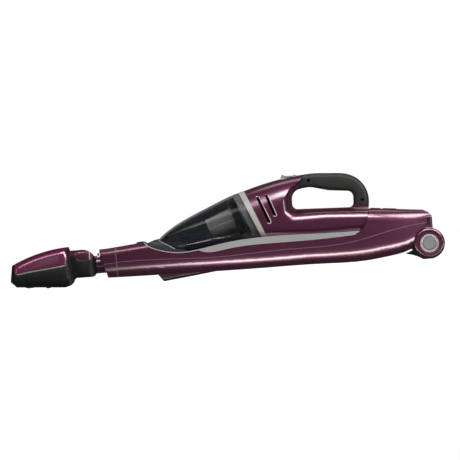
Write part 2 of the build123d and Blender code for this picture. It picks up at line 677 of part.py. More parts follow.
def wheel_pocket(side):
    middle = side * WHEEL_Y
    return box(WHEEL_X - 6.4, WHEEL_X + 6.4, middle - 7.0, middle + 7.0, SOLE_Z - 4.0, WHEEL_Z + 6.4)


def sole_plate():
    plate = sole_outline() & box(-90.0, 20.0, -120.0, 120.0, SOLE_Z, SOLE_Z + 2.6)
    plate = plate - box(BRUSH_X - 19.0, BRUSH_X + 19.0, CHAMBER_LEFT + 1.0, CHAMBER_RIGHT - 1.0, -40.0, -20.0)
    for side in (-1, 1):
        middle = side * WHEEL_Y
        plate = plate - wheel_pocket(side)
        plate = plate - box(WHEEL_X - 1.8, WHEEL_X + 1.8, middle - 10.4, middle + 10.4, -29.9, -20.0)
    for x, y in HEAD_SCREWS:
        plate = plate - Pos(x, y, SOLE_Z) * Cylinder(1.6, 12.0) - Pos(x, y, SOLE_Z) * Cylinder(3.1, 3.0)
    return plate


HEAD_SCREWS = ((-8.0, -100.0), (-27.0, -48.0), (-27.0, 48.0), (-8.0, 100.0))


def head_screws():
    screws = []
    for x, y in HEAD_SCREWS:
        screw = Pos(x, y, SOLE_Z + 0.8) * Cylinder(2.9, 1.4) + Pos(x, y, SOLE_Z + 5.0) * Cylinder(1.5, 8.0)
        slot = Pos(x, y, SOLE_Z) * Box(4.2, 0.8, 1.2) + Pos(x, y, SOLE_Z) * Box(0.8, 4.2, 1.2)
        screws.append((screw - slot).solid())
    return Compound(children=screws)


def brush_core():
    core = rod_y(BRUSH_X, BRUSH_Z, CORE_RADIUS - 1.2, CHAMBER_LEFT + 1.0, CHAMBER_RIGHT - 1.0)
    shaft = rod_y(BRUSH_X, BRUSH_Z, 3.0, CHAMBER_LEFT - 2.0, PULLEY_Y + PULLEY_WIDTH + 1.0)
    pulley = rod_y(BRUSH_X, BRUSH_Z, BRUSH_PULLEY_RADIUS, PULLEY_Y, PULLEY_Y + PULLEY_WIDTH)
    return core + shaft + pulley


def brush_bristles():
    # two helical rows of strands, rooted in a sleeve on the core
    low = CHAMBER_LEFT + 2.0
    high = CHAMBER_RIGHT - 2.0
    sleeve = rod_y(0, 0, CORE_RADIUS, low, high) - rod_y(0, 0, CORE_RADIUS - 1.2, low - 1.0, high + 1.0)
    strand_count = 156
    strand = 1.0
    turns = 1.0
    pitch = (high - low - 4.0) / (strand_count - 1)
    root = CORE_RADIUS - 0.6
    length = BRISTLE_RADIUS - root
    one = Pos(0, 0, root + length / 2) * Box(strand, strand * 0.8, length)
    strands = []
    for row in range(2):
        for index in range(strand_count):
            angle = 360.0 * turns * index / strand_count + 180.0 * row
            strands.append(Pos(0, low + 2.0 + pitch * index, 0) * Rot(0, angle, 0) * one)
    return Pos(BRUSH_X, 0, BRUSH_Z) * sleeve.fuse(*strands)


def brush_motor():
    can = rod_y(BRUSH_MOTOR_X, BRUSH_MOTOR_Z, 12.5, 38.0, 86.0)
    boss = rod_y(BRUSH_MOTOR_X, BRUSH_MOTOR_Z, 5.0, 86.0, 89.0)
    return can + boss - rod_y(BRUSH_MOTOR_X, BRUSH_MOTOR_Z, 1.55, 80.0, 95.0)


def motor_pulley():
    pulley = rod_y(BRUSH_MOTOR_X, BRUSH_MOTOR_Z, MOTOR_PULLEY_RADIUS, PULLEY_Y, PULLEY_Y + PULLEY_WIDTH)
    return pulley + rod_y(BRUSH_MOTOR_X, BRUSH_MOTOR_Z, 1.5, 82.0, PULLEY_Y)


def belt_outline(grow):
    large = Pos(BRUSH_X, BRUSH_Z) * Circle(BRUSH_PULLEY_RADIUS + grow)
    small = Pos(BRUSH_MOTOR_X, BRUSH_MOTOR_Z) * Circle(MOTOR_PULLEY_RADIUS + grow)
    return make_hull(large.edges() + small.edges())


def drive_belt():
    belt = between(belt_outline(1.8), PULLEY_Y + 0.5, PULLEY_Y + PULLEY_WIDTH - 0.5)
    return belt - between(belt_outline(0.35), PULLEY_Y, PULLEY_Y + PULLEY_WIDTH)


def wheel(side):
    low = side * WHEEL_Y - WHEEL_WIDTH / 2
    tyre = rod_y(WHEEL_X, WHEEL_Z, WHEEL_RADIUS, low, low + WHEEL_WIDTH)
    tyre = fillet(tyre.edges().filter_by(GeomType.CIRCLE), 1.2)
    return tyre - rod_y(WHEEL_X, WHEEL_Z, 1.55, low - 1.0, low + WHEEL_WIDTH + 1.0)


def wheel_axles():
    axles = [rod_y(WHEEL_X, WHEEL_Z, 1.5, s * WHEEL_Y - 10.0, s * WHEEL_Y + 10.0).solid() for s in (-1, 1)]
    return Compound(children=axles)


# Hand vacuum

def dust_cup():
    cup = cup_form() - cup_form(-CUP_WALL)
    lip = rod_y(TILT_X, TILT_Z, 2.3, -14.0, 14.0)
    web = across(outline((TILT_X, TILT_Z + 2.2), (-112.0, 71.6), (-110.0, 70.6), (-113.0, 70.2),
                         (TILT_X, TILT_Z - 1.2)), 14.0)
    return cup + ((lip + web) - cup_form(-CUP_WALL))


def cup_ring():
    ring = ring_form(0.4)
    return ring - ring_form(-8.0)


def inlet_duct():
    duct = across(outline((-107.0, 65.5), (-89.0, 53.9), (-70.5, 50.0), (-70.5, 62.6)), 20.0)
    bore = across(outline((-113.0, 68.0), (-104.6, 63.0), (-70.0, 61.2), (-60.0, 61.0), (-60.0, 51.4),
                          (-70.5, 51.6), (-87.6, 55.3), (-92.0, 50.0)), 18.4)
    return duct - bore


def inlet_flap():
    leaf = box(-69.6, -68.4, -17.6, 17.6, 50.4, 62.0)
    return leaf + rod_y(FLAP_X, FLAP_Z, 1.2, -17.6, 17.6)


def filter_axis():
    start = Vector(-28.5, 0, 81.0)
    end = Vector(14.5, 0, 93.0)
    return start, (end - start).normalized(), (end - start).length


def cone(start, direction, length, radius_start, radius_end):
    plane = Plane(start, x_dir=(0, 1, 0), z_dir=direction)
    return loft([plane * Circle(radius_start), plane.offset(length) * Circle(radius_end)])


def filter_cone():
    start, along, length = filter_axis()
    body = cone(start, along, length, 16.0, 20.5)
    return body - cone(start + along * 3.0, along, length, 13.4, 18.0)


def filter_frame():
    start, along, length = filter_axis()
    tray = cone(start + along * 2.0, along, length, 18.2, 22.6) - cone(start, along, length + 4.0, 16.3, 21.2)
    lower = Plane(start, x_dir=(0, 1, 0), z_dir=(-along.Z, 0, along.X))
    tray = tray & extrude(lower * Pos(0, -60) * Rectangle(120, 200), amount=-60)
    collar = cone(start + along * length, along, 16.0, 26.0, 27.0)
    collar = collar - cone(start + along * (length - 1.0), along, 40.0, 18.0, 19.0)
    plate = ring_form(-8.3) - cone(start, along, 140.0, 17.0, 20.0)
    neck = cone(start + along * (length + 14.0), along, 22.0, 27.0, 28.0)
    neck = neck - cone(start + along * length, along, 60.0, 18.0, 20.0)
    frame = collar + neck + plate
    return frame + tray


def shoulder_depth(reach):
    # depth of the scoop below the housing's side, by distance from its edge: a broad arc, then a steep wall
    arc_reach = SHOULDER_RADIUS * math.sin(math.radians(SHOULDER_TURN))
    if reach < arc_reach:
        return SHOULDER_RADIUS - math.sqrt(SHOULDER_RADIUS ** 2 - reach ** 2)
    arc_depth = SHOULDER_RADIUS * (1 - math.cos(math.radians(SHOULDER_TURN)))
    wall = (reach - arc_reach) / (SCOOP_REACH - arc_reach)
    return arc_depth + wall * (RIM_HALF - CORE_HALF - arc_depth)


def pocket(side):
    # scooped side of the handle loop, from the wide housing in to the narrow handle
    wide = ((126.0, 172.0), (119.0, 152.0), (99.0, 142.0), (95.0, 118.0), (96.4, 92.0), (110.0, 77.6),
            (170.0, 75.8), (262.0, 64.0), (262.0, 172.0))
    slim = ((140.0, 172.0), (135.2, 150.0), (121.0, 137.5), (112.5, 120.0), (112.6, 106.0), (118.0, 101.6),
            (170.0, 100.6), (262.0, 94.0), (262.0, 172.0))
    wide_radii = [0.0, 8.0, 20.0, 18.0, 12.0, 14.0, 30.0, 0.0, 0.0]
    slim_radii = [0.0, 8.0, 14.0, 12.0, 6.0, 10.0, 30.0, 0.0, 0.0]

    def mixed(low, high, share):
        return low + (high - low) * share

    def scoop_face(y, share):
        # the plane leans with the taper of the housing's side as it nears it
        lean = math.radians(HOUSING_TAPER * share)
        plane = Plane((RIM_X, side * y, 0), x_dir=(math.cos(lean), -side * math.sin(lean), 0),
                      z_dir=(-side * math.sin(lean), -math.cos(lean), 0))
        points = [(mixed(a[0], b[0], share), mixed(a[1], b[1], share)) for a, b in zip(slim, wide)]
        radii = [mixed(a, b, share) for a, b in zip(slim_radii, wide_radii)]
        return plane * Pos(-RIM_X, 0) * outline(*points, radius=radii)

    shares = (0.0, 0.04, 0.25, 0.36, 0.47, 0.58, 0.7, 0.82, 0.92, 1.0)
    faces = [scoop_face(RIM_HALF - shoulder_depth(SCOOP_REACH * (1 - share)), share) for share in shares]
    return loft(faces + [scoop_face(RIM_HALF + 10.0, 1.0)], ruled=True)


def finger_opening():
    return outline((114.6, 102.2), (115.6, 133.0), (146.0, 137.4), (178.0, 128.8), (218.6, 124.2),
                   (217.6, 97.2), radius=[9.0, 17.0, 34.0, 30.0, 10.0, 8.0])


def hand_body():
    return housing_form() - pocket(-1) - pocket(1) - across(finger_opening(), 60.0)


def hand_cavity():
    side = outline((20.0, 200.0), (93.0, 200.0), (93.0, 90.0), (104.0, 79.6), (165.0, 78.4), (234.0, 70.0),
                   (228.5, 63.0), (215.0, 53.6), (203.0, 47.0), (20.0, 30.0))
    main = loft([cross_section(*section, -WALL) for section in HOUSING_SECTIONS]) & across(side, 80.0)
    switch_room = across(outline((90.0, 137.0), (119.0, 142.5), (122.0, 150.5), (90.0, 146.5)), 12.0)
    return main + switch_room


def grip_region():
    return across(outline((139.5, 172.0), (134.6, 149.5), (121.6, 129.4), (140.0, 112.0), (200.0, 112.0),
                          (212.0, 100.6), (270.0, 100.6), (270.0, 172.0)), 22.0)


def vent(x_top, z_top, x_low, z_low, width, depth_low, depth_high):
    run = Vector(x_low - x_top, z_low - z_top)
    slot = SlotCenterToCenter(run.length, width, rotation=math.degrees(math.atan2(run.Y, run.X)))
    return between(Pos((x_top + x_low) / 2, (z_top + z_low) / 2) * slot, depth_low, depth_high)


VENTS = ((57.5, 127.0, 74.0, 84.5), (72.6, 128.5, 84.2, 95.5))
VENT_WIDTH = 4.8


def switch_slot():
    return across(outline((98.4, 165.0), (98.4, 140.0), (119.0, 140.0), (119.0, 165.0)), 3.4)


def housing(side, body, cavity):
    keep = box(-50.0, 300.0, min(0.0, side * 90.0), max(0.0, side * 90.0), 0.0, 200.0)
    half = (body - cavity - grip_region() - switch_slot()) & keep
    for slot in VENTS:
        half = half - vent(*slot, VENT_WIDTH, -90.0, 90.0)
    return half


GRIP_SCREWS = ((145.5, 148.3), (232.5, 108.5))


def loop_form():
    # the handle loop with its outer and inner edges rounded for the hand
    outer = rounded_stack(lambda inset: hand_side(-inset), CORE_HALF, LOOP_ROUND)
    flare_half = CORE_HALF + 0.2
    flare = rounded_stack(lambda inset: offset(finger_opening(), inset) if inset > 0 else finger_opening(),
                          flare_half, LOOP_ROUND)
    return outer - flare


def grip(side, body):
    keep = box(50.0, 300.0, min(0.0, side * 90.0), max(0.0, side * 90.0), 0.0, 200.0)
    half = (body & grip_region()) & loop_form() & keep
    for x, z in GRIP_SCREWS:
        if side < 0:
            half = half - rod_y(x, z, 2.9, -40.0, -9.0) - rod_y(x, z, 1.7, -40.0, 1.0)
        else:
            half = half - rod_y(x, z, 1.5, -1.0, 10.0)
    return half


def grip_screws():
    screws = []
    for x, z in GRIP_SCREWS:
        screw = rod_y(x, z, 2.7, -11.0, -9.0) + rod_y(x, z, 1.5, -9.0, 10.0)
        slot = Pos(x, -11.0, z) * Box(4.0, 1.2, 0.8) + Pos(x, -11.0, z) * Box(0.8, 1.2, 4.0)
        screws.append((screw - slot).solid())
    return Compound(children=screws)


def power_switch():
    side = outline((98.2, 154.9), (101.9, 161.6), (104.4, 160.4), (108.0, 158.8), (119.0, 158.5),
                   (123.4, 160.0), (126.2, 158.5), (126.2, 158.2))
    knob = across(side, 8.0)
    stem = across(outline((107.2, 158.4), (107.2, 146.0), (118.4, 147.6), (118.4, 158.4)), 3.0)
    return knob + stem - housing_form(0.3) + (stem & across(switch_slot_face(), 3.0))


def switch_slot_face():
    return outline((107.2, 165.0), (107.2, 141.0), (118.4, 141.0), (118.4, 165.0))


def motor_frame():
    centre = Vector(FAN_AXIS_START[0], 0, FAN_AXIS_START[1])
    rise = Vector(RING_END[0][0] - RING_END[1][0], 0, RING_END[0][1] - RING_END[1][1])
    along = Vector(rise.Z, 0, -rise.X).normalized()
    return centre, along


def along_motor(start, length, radius):
    centre, along = motor_frame()
    plane = Plane(centre + along * start, x_dir=(0, 1, 0), z_dir=along)
    return extrude(plane * Circle(radius), amount=length)


def fan():
    centre, along = motor_frame()
    disc = along_motor(6.0, 1.6, 33.0) + along_motor(6.0, 9.0, 8.0)
    plane = Plane(centre + along * 7.4, x_dir=(0, 1, 0), z_dir=along)
    blade_count = 9
    blades = []
    for index in range(blade_count):
        turn = Rot(0, 0, 360 / blade_count * index)
        blades.append(extrude(plane * turn * Pos(19.5, 0) * Rot(0, 0, 28) * Rectangle(24, 1.4), amount=5.6))
    rotor = disc.fuse(*blades)
    return rotor + along_motor(15.0, 11.0, 1.9)


def suction_motor():
    return along_motor(18.0, 14.4, 19.0) - along_motor(17.0, 10.0, 1.95)


def motor_mount():
    centre, along = motor_frame()
    plane = Plane(centre + along * 16.6, x_dir=(0, 1, 0), z_dir=along)
    upright = extrude(plane * Pos(0, -2.5) * Rectangle(36.0, 88.0), amount=3.0)
    return upright + along_motor(16.6, 3.0, 33.4) - along_motor(15.0, 10.0, 19.0)


def battery_cells():
    cells = [rod_y(112.0 + 19.2 * i, 61.0, 9.2, -32.5, 32.5).solid() for i in range(6)]
    return Compound(children=cells)


def control_board():
    return box(108.0, 186.0, -24.0, 24.0, 71.2, 72.8) + box(112.0, 130.0, -12.0, 12.0, 72.8, 77.0)


def exhaust_screens():
    # thin filter sheets inside the vent slots
    sheet = outline((55.2, 127.6), (67.5, 79.5), (92.0, 85.0), (78.0, 131.0))
    return Compound(children=[between(sheet, low, low + 1.4).solid() for low in (-35.0, 33.6)])


def main():
    os.makedirs("parts", exist_ok=True)
    form = body_form()
    void = body_form(-WALL)
    head = head_form()
    head_void = head_form(-2.6)
    body = hand_body()
    cavity = hand_cavity()
    trim_left, trim_right = trims(body_form(0.5), body_form(-1.2))
    nodes = {
        "upper_shell": upper_shell(form, void),
        "lower_shell": lower_shell(form, void),
        "neck_collar": neck_collar(form),
        "collar_ring": collar_ring(),
        "swivel_bush": swivel_bush(),
        "air_duct": air_duct(),
        "nose_socket": nose_socket(),
        "trim_left": trim_left,
        "trim_right": trim_right,
        "end_cap": end_cap(),
        "charge_jack": charge_jack(),
        "shell_screws": shell_screws(),
        "hinge_bracket": hinge_bracket(),
        "hinge_cheek_left": hinge_cheek(-1),
        "hinge_cheek_right": hinge_cheek(1),
        "hinge_bezel_left": hinge_bezel(-1),
        "hinge_bezel_right": hinge_bezel(1),
        "hinge_button": hinge_button(),
        "hinge_cap": hinge_cap(),
        "hinge_pin": hinge_pin(),
        "release_button": on_top(RELEASE_X, button_shape(17.0, 24.0, 6.0)),
        "mode_button": on_top(MODE_X, button_shape(22.0, 24.0, 6.0)),
        "handle_knuckle": handle_knuckle(),
        "handle_tube": handle_tube(),
        "handle_grip": handle_grip(),
        "neck_base": neck_base(),
        "neck_cover": neck_cover(),
        "swivel_tube": swivel_tube(),
        "neck_latch": neck_latch(),
        "head_base": in_head(head_base(head, head_void)),
        "head_cover": in_head(head_cover(head_void)),
        "sole_plate": in_head(sole_plate()),
        "head_screws": in_head(head_screws()),
        "brush_core": in_head(brush_core()),
        "brush_bristles": in_head(brush_bristles()),
        "brush_motor": in_head(brush_motor()),
        "motor_pulley": in_head(motor_pulley()),
        "drive_belt": in_head(drive_belt()),
        "wheel_left": in_head(wheel(-1)),
        "wheel_right": in_head(wheel(1)),
        "wheel_axles": in_head(wheel_axles()),
        "dust_cup": dust_cup(),
        "cup_ring": cup_ring(),
        "inlet_duct": inlet_duct(),
        "inlet_flap": inlet_flap(),
        "filter_cone": filter_cone(),
        "filter_frame": filter_frame(),
        "housing_left": housing(-1, body, cavity),
        "housing_right": housing(1, body, cavity),
        "grip_left": grip(-1, body),
        "grip_right": grip(1, body),
        "grip_screws": grip_screws(),
        "power_switch": power_switch(),
        "fan": fan(),
        "suction_motor": suction_motor(),
        "motor_mount": motor_mount(),
        "battery_cells": battery_cells(),
        "control_board": control_board(),
        "exhaust_screens": exhaust_screens(),
    }
    for name, shape in nodes.items():
        export_step(shape, f"parts/{name}.step")


if __name__ == "__main__":
    main()
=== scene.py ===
import bpy
import json
import math
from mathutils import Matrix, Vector


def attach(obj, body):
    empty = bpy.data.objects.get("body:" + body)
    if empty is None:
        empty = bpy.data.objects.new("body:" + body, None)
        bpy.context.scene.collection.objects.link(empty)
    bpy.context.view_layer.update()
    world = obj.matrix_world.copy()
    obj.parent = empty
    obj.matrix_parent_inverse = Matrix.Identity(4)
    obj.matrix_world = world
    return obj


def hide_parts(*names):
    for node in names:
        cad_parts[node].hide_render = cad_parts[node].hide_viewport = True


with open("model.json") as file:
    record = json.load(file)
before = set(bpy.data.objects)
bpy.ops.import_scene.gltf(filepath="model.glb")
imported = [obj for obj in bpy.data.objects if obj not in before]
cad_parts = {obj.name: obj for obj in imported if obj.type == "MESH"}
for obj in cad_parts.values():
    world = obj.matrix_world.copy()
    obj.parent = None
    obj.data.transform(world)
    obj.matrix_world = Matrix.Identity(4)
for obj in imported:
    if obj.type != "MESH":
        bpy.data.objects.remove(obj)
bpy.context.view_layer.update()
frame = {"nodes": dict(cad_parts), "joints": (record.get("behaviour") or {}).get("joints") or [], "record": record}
nodes = frame["nodes"]
bodies = frame["record"]["behaviour"]["bodies"]
slotOf = {entry["node"]: entry["material_slot"] for entry in frame["record"]["subparts"]}
bodyOf = {node: body for body, members in bodies.items() for node in members}
jointAt = {joint["name"]: Vector(joint["pos_m"]) for joint in frame["joints"] if "pos_m" in joint}
mm = 0.001
white = (1, 1, 1, 1)
print("frame loaded,", len(nodes), "nodes")


def linearColour(hexText):
    # sRGB hex to the linear colour that the shaders take
    channels = [int(hexText[i:i + 2], 16) / 255 for i in (1, 3, 5)]
    linear = [c / 12.92 if c <= 0.04045 else ((c + 0.055) / 1.055) ** 2.4 for c in channels]
    return (*linear, 1.0)


def addNode(tree, kind, settings=None, inputs=None, stops=()):
    # adds one node, sets it up, links what comes in as a socket and gives a colour ramp its stops
    node = tree.nodes.new(kind)
    for name, value in (settings or {}).items():
        setattr(node, name, value)
    for name, value in (inputs or {}).items():
        if isinstance(value, bpy.types.NodeSocket):
            tree.links.new(value, node.inputs[name])
        else:
            node.inputs[name].default_value = value
    for number, (place, colour) in enumerate(stops):
        node.color_ramp.elements[number].position = place
        node.color_ramp.elements[number].color = colour
    return node


def newMaterial(name):
    material = bpy.data.materials.new(name)
    material.use_nodes = True
    material.node_tree.nodes.clear()
    return material, material.node_tree


def closeMaterial(tree, shader, volume=None):
    end = addNode(tree, "ShaderNodeOutputMaterial", inputs={"Surface": shader.outputs[0]})
    if volume:
        tree.links.new(volume.outputs[0], end.inputs["Volume"])


# Camera, in mm and degrees: level with the stick, rolled so that the stick climbs to the right
cameraSet = {
    "aim": (7.2, 0.0, 76.4),
    "distance": 14000.0,
    "farthest": 80000.0,
    "imageWidth": 772.8,
    "roll": 4.874,
    "sensor": 36.0,
}


def addCamera():
    aim = Vector(cameraSet["aim"]) * mm
    distance = cameraSet["distance"] * mm
    bpy.ops.object.camera_add(location=aim + Vector((0, -distance, 0)))
    camera = bpy.context.object
    camera.rotation_euler = (math.radians(90), math.radians(cameraSet["roll"]), 0)
    camera.data.sensor_width = cameraSet["sensor"]
    camera.data.lens = cameraSet["sensor"] * cameraSet["distance"] / cameraSet["imageWidth"]
    camera.data.clip_end = cameraSet["farthest"] * mm
    bpy.context.scene.camera = camera


# Studio, in metres: white room and plain lamps, with a grey tent and soft cards that only gloss mirrors
studioSet = {
    "roomLight": 0.34,
    "floorHalf": 30.0,
    "floorDrop": 0.0002,
    "floorColour": "#f0f0ee",
    # this share of what is seen of the floor is its own glow: it looks white and still takes the shadow
    "floorShare": 0.6,
    "floorGlow": 1.47,
    "lookAt": (0.0, 0.0, 0.07),
    # name, place, size and watts
    "lamps": (
        ("frontLamp", (0.0, -1.02, 1.45), (2.6, 0.95), 27.0),
        ("backLamp", (0.0, 1.1, 1.5), (1.9, 0.6), 13.0),
        ("rightLamp", (1.5, -1.15, 0.55), (0.4, 1.0), 6.0),
    ),
    "tentRadius": 3.2,
    "tentTop": 3.0,
    "tentSides": 64,
    "tentFront": 0.08,
    "tentBack": 0.05,
    "tentFade": 0.4,
    # name, place, what it faces, size, strength and the share of its width that fades at each edge
    "cards": (
        ("frontCard", (0.6, -1.06, 1.39), (0.6, 0.0, 0.07), (1.9, 1.18), 15.0, (0.14, 0.5)),
        ("backCard", (0.2, 0.5, 1.5), (0.2, 0.0, 0.07), (1.25, 0.7), 2.0, (0.2, 0.5)),
        ("headCard", (-0.33, -1.06, 1.39), (-0.33, 0.0, 0.07), (0.09, 1.18), 12.0, (0.5, 0.5)),
        ("fillCard", (-0.75, -1.2, 1.45), (-0.3, 0.0, 0.07), (1.3, 1.0), 6.0, (0.5, 0.5)),
        ("noseCard", (-0.42, -2.6, 0.6), (-0.42, 0.0, 0.1), (0.42, 1.1), 0.6, (0.5, 0.5)),
        ("hoodCard", (0.637, -0.385, 0.42), (-0.22, -0.03, 0.1), (0.41, 0.9), 11.0, (0.3, 0.4)),
        ("rightCard", (1.5, -1.15, 0.1), (0.0, 0.0, 0.07), (0.8, 0.5), 9.0, (0.4, 0.4)),
        ("leftCard", (-1.75, -1.1, 0.7), (-0.2, 0.0, 0.07), (0.45, 1.1), 5.0, (0.45, 0.45)),
        ("floorCard", (0.26, -0.096, 0.0004), (0.26, -0.096, 1.0), (1.1, 0.036), 14.0, (0.28, 0.5)),
        # black cards, which keep the floor's glow off the lower shell and the room's off the head's top
        ("shadeCard", (0.1, -0.094, 0.052), (0.1, -0.094, 1.0), (0.7, 0.078), 0.0, (0.1, 0.1)),
        ("topShade", (-0.31, -0.03, 0.16), (-0.31, -0.03, 1.0), (0.16, 0.24), 0.0, (0.1, 0.1)),
    ),
}


def seenRays(tree, path):
    # 1 for what the camera sees straight or mirrored, 0 for light on the object
    return addNode(tree, "ShaderNodeMath", {"operation": "MAXIMUM"},
                   {0: path.outputs["Is Camera Ray"], 1: path.outputs["Is Glossy Ray"]})


def lightWorld():
    world = bpy.data.worlds.new("whiteRoom")
    bpy.context.scene.world = world
    world.use_nodes = True
    tree = world.node_tree
    tree.nodes.clear()
    path = addNode(tree, "ShaderNodeLightPath")
    shown = addNode(tree, "ShaderNodeMath", {"operation": "MAXIMUM"},
                    {0: seenRays(tree, path).outputs[0], 1: path.outputs["Is Transmission Ray"]})
    strength = addNode(tree, "ShaderNodeMapRange", inputs={
        "Value": shown.outputs[0], "To Min": studioSet["roomLight"], "To Max": 1.0})
    room = addNode(tree, "ShaderNodeBackground", inputs={"Color": white, "Strength": strength.outputs[0]})
    addNode(tree, "ShaderNodeOutputWorld", inputs={"Surface": room.outputs[0]})


def addFloor():
    material, tree = newMaterial("paperFloor")
    paper = addNode(tree, "ShaderNodeBsdfDiffuse", inputs={"Color": linearColour(studioSet["floorColour"])})
    glow = addNode(tree, "ShaderNodeEmission", inputs={"Color": white, "Strength": studioSet["floorGlow"]})
    seen = seenRays(tree, addNode(tree, "ShaderNodeLightPath"))
    share = addNode(tree, "ShaderNodeMath", {"operation": "MULTIPLY"},
                    {0: seen.outputs[0], 1: studioSet["floorShare"]})
    closeMaterial(tree, addNode(tree, "ShaderNodeMixShader", inputs={
        0: share.outputs[0], 1: paper.outputs[0], 2: glow.outputs[0]}))
    material.cycles.emission_sampling = "NONE"
    bpy.ops.mesh.primitive_plane_add(
        size=2 * studioSet["floorHalf"], location=(0, 0, -studioSet["floorDrop"]))
    floor = bpy.context.object
    floor.name = "studioFloor"
    floor.data.materials.append(material)


def onlyInReflections(piece):
    piece.visible_camera = False
    piece.visible_transmission = False
    piece.visible_diffuse = False
    piece.visible_shadow = False


def addTent():
    # grey cloth all round, lighter in front than behind
    material, tree = newMaterial("greyTent")
    place = addNode(tree, "ShaderNodeTexCoord")
    axes = addNode(tree, "ShaderNodeSeparateXYZ", inputs={0: place.outputs["Object"]})
    radius = studioSet["tentRadius"]
    shade = addNode(tree, "ShaderNodeMapRange", inputs={
        "Value": axes.outputs["Y"], "From Min": -radius, "From Max": studioSet["tentFade"] * radius,
        "To Min": studioSet["tentFront"], "To Max": studioSet["tentBack"]})
    closeMaterial(tree, addNode(tree, "ShaderNodeEmission", inputs={
        "Color": white, "Strength": shade.outputs[0]}))
    material.cycles.emission_sampling = "NONE"
    top = studioSet["tentTop"]
    bpy.ops.mesh.primitive_cylinder_add(vertices=studioSet["tentSides"], radius=radius, depth=top,
                                        end_fill_type="NGON", location=(0, 0, top / 2))
    tent = bpy.context.object
    tent.name = "studioTent"
    tent.data.materials.append(material)
    onlyInReflections(tent)


def addCard(name, place, aim, size, glow, soft):
    # a light card that fades out towards its edges
    material, tree = newMaterial(name)
    where = addNode(tree, "ShaderNodeTexCoord")
    axes = addNode(tree, "ShaderNodeSeparateXYZ", inputs={0: where.outputs["UV"]})
    fades = []
    for axis, reach in zip(("X", "Y"), soft):
        inward = addNode(tree, "ShaderNodeMath", {"operation": "PINGPONG"}, {0: axes.outputs[axis], 1: 0.5})
        fades.append(addNode(tree, "ShaderNodeMapRange", {"interpolation_type": "SMOOTHSTEP"}, {
            "Value": inward.outputs[0], "From Max": reach}))
    fade = addNode(tree, "ShaderNodeMath", {"operation": "MULTIPLY"},
                   {0: fades[0].outputs[0], 1: fades[1].outputs[0]})
    strength = addNode(tree, "ShaderNodeMath", {"operation": "MULTIPLY"}, {0: fade.outputs[0], 1: glow})
    closeMaterial(tree, addNode(tree, "ShaderNodeEmission", inputs={
        "Color": white, "Strength": strength.outputs[0]}))
    bpy.ops.mesh.primitive_plane_add(size=1, location=place)
    card = bpy.context.object
    card.name = name
    card.scale = (*size, 1)
    card.rotation_euler = (Vector(aim) - Vector(place)).to_track_quat("Z", "Y").to_euler()
    card.data.materials.append(material)
    onlyInReflections(card)


def addLamps():
    for name, place, size, power in studioSet["lamps"]:
        bpy.ops.object.light_add(type="AREA", location=place)
        lamp = bpy.context.object
        lamp.name = name
        lamp.data.shape = "RECTANGLE"
        lamp.data.size, lamp.data.size_y = size
        lamp.data.energy = power
        aim = Vector(studioSet["lookAt"]) - Vector(place)
        lamp.rotation_euler = aim.to_track_quat("-Z", "Y").to_euler()
        lamp.visible_glossy = False
        lamp.visible_transmission = False


bpy.ops.object.select_all(action="DESELECT")
addCamera()
lightWorld()
addFloor()
addTent()
for card in studioSet["cards"]:
    addCard(*card)
addLamps()
bpy.context.scene.view_settings.view_transform = "Standard"
print("camera and studio set")

# Lacquer: real flakes are 0.05 mm, drawn coarser to show
lacquerSet = {"flake": 0.6}


def flakeLacquer(name, flakeColours, metal, roughness, coat):
    # ABS with a metallic lacquer under clear coat: deep colour, fine flakes, soft mirror-like gloss
    material, tree = newMaterial(name)
    place = addNode(tree, "ShaderNodeTexCoord")
    flakes = addNode(tree, "ShaderNodeTexVoronoi", inputs={
        "Vector": place.outputs["Object"], "Scale": 1 / (lacquerSet["flake"] * mm)})
    dark, light = [linearColour(colour) for colour in flakeColours]
    tint = addNode(tree, "ShaderNodeValToRGB", inputs={"Fac": flakes.outputs["Color"]},
                   stops=((0, dark), (1, light)))
    closeMaterial(tree, addNode(tree, "ShaderNodeBsdfPrincipled", inputs={
        "Base Color": tint.outputs["Color"], "Metallic": metal, "Roughness": roughness,
        "Coat Weight": coat, "Coat Roughness": 0.1, "Coat IOR": 1.65}))
    return material


# Moulded plastic: faint flow patches, softened edges, and a grain drawn coarser than real to show
mouldSet = {
    "patch": 45.0,
    "darkest": 0.88,
    "lightest": 1.1,
    "shineSpread": 0.05,
    "edge": 0.6,
    "grainDepth": 0.1,
}


def mouldedPlastic(name, colour, roughness, grain=0.35, depth=0.06, specular=0.5):
    # plain moulded plastic: even colour with a fine spark-eroded grain that softens its shine
    material, tree = newMaterial(name)
    place = addNode(tree, "ShaderNodeTexCoord")
    spots = addNode(tree, "ShaderNodeTexNoise", inputs={
        "Vector": place.outputs["Object"], "Scale": 1 / (grain * mm), "Detail": 2.0})
    patches = addNode(tree, "ShaderNodeTexNoise", inputs={
        "Vector": place.outputs["Object"], "Scale": 1 / (mouldSet["patch"] * mm), "Detail": 3.0})
    base = linearColour(colour)[:3]
    dark = (*[mouldSet["darkest"] * c for c in base], 1)
    light = (*[min(1, mouldSet["lightest"] * c) for c in base], 1)
    shade = addNode(tree, "ShaderNodeValToRGB", inputs={"Fac": patches.outputs["Fac"]},
                    stops=((0, dark), (1, light)))
    spread = mouldSet["shineSpread"]
    shine = addNode(tree, "ShaderNodeMapRange", inputs={
        "Value": patches.outputs["Fac"], "To Min": roughness - spread, "To Max": roughness + spread})
    edge = addNode(tree, "ShaderNodeBevel", {"samples": 6}, {"Radius": mouldSet["edge"] * mm})
    relief = addNode(tree, "ShaderNodeBump", inputs={
        "Height": spots.outputs["Fac"], "Strength": depth, "Distance": mouldSet["grainDepth"] * mm,
        "Normal": edge.outputs[0]})
    closeMaterial(tree, addNode(tree, "ShaderNodeBsdfPrincipled", inputs={
        "Base Color": shade.outputs["Color"], "Roughness": shine.outputs[0], "Normal": relief.outputs[0],
        "Specular IOR Level": specular}))
    return material


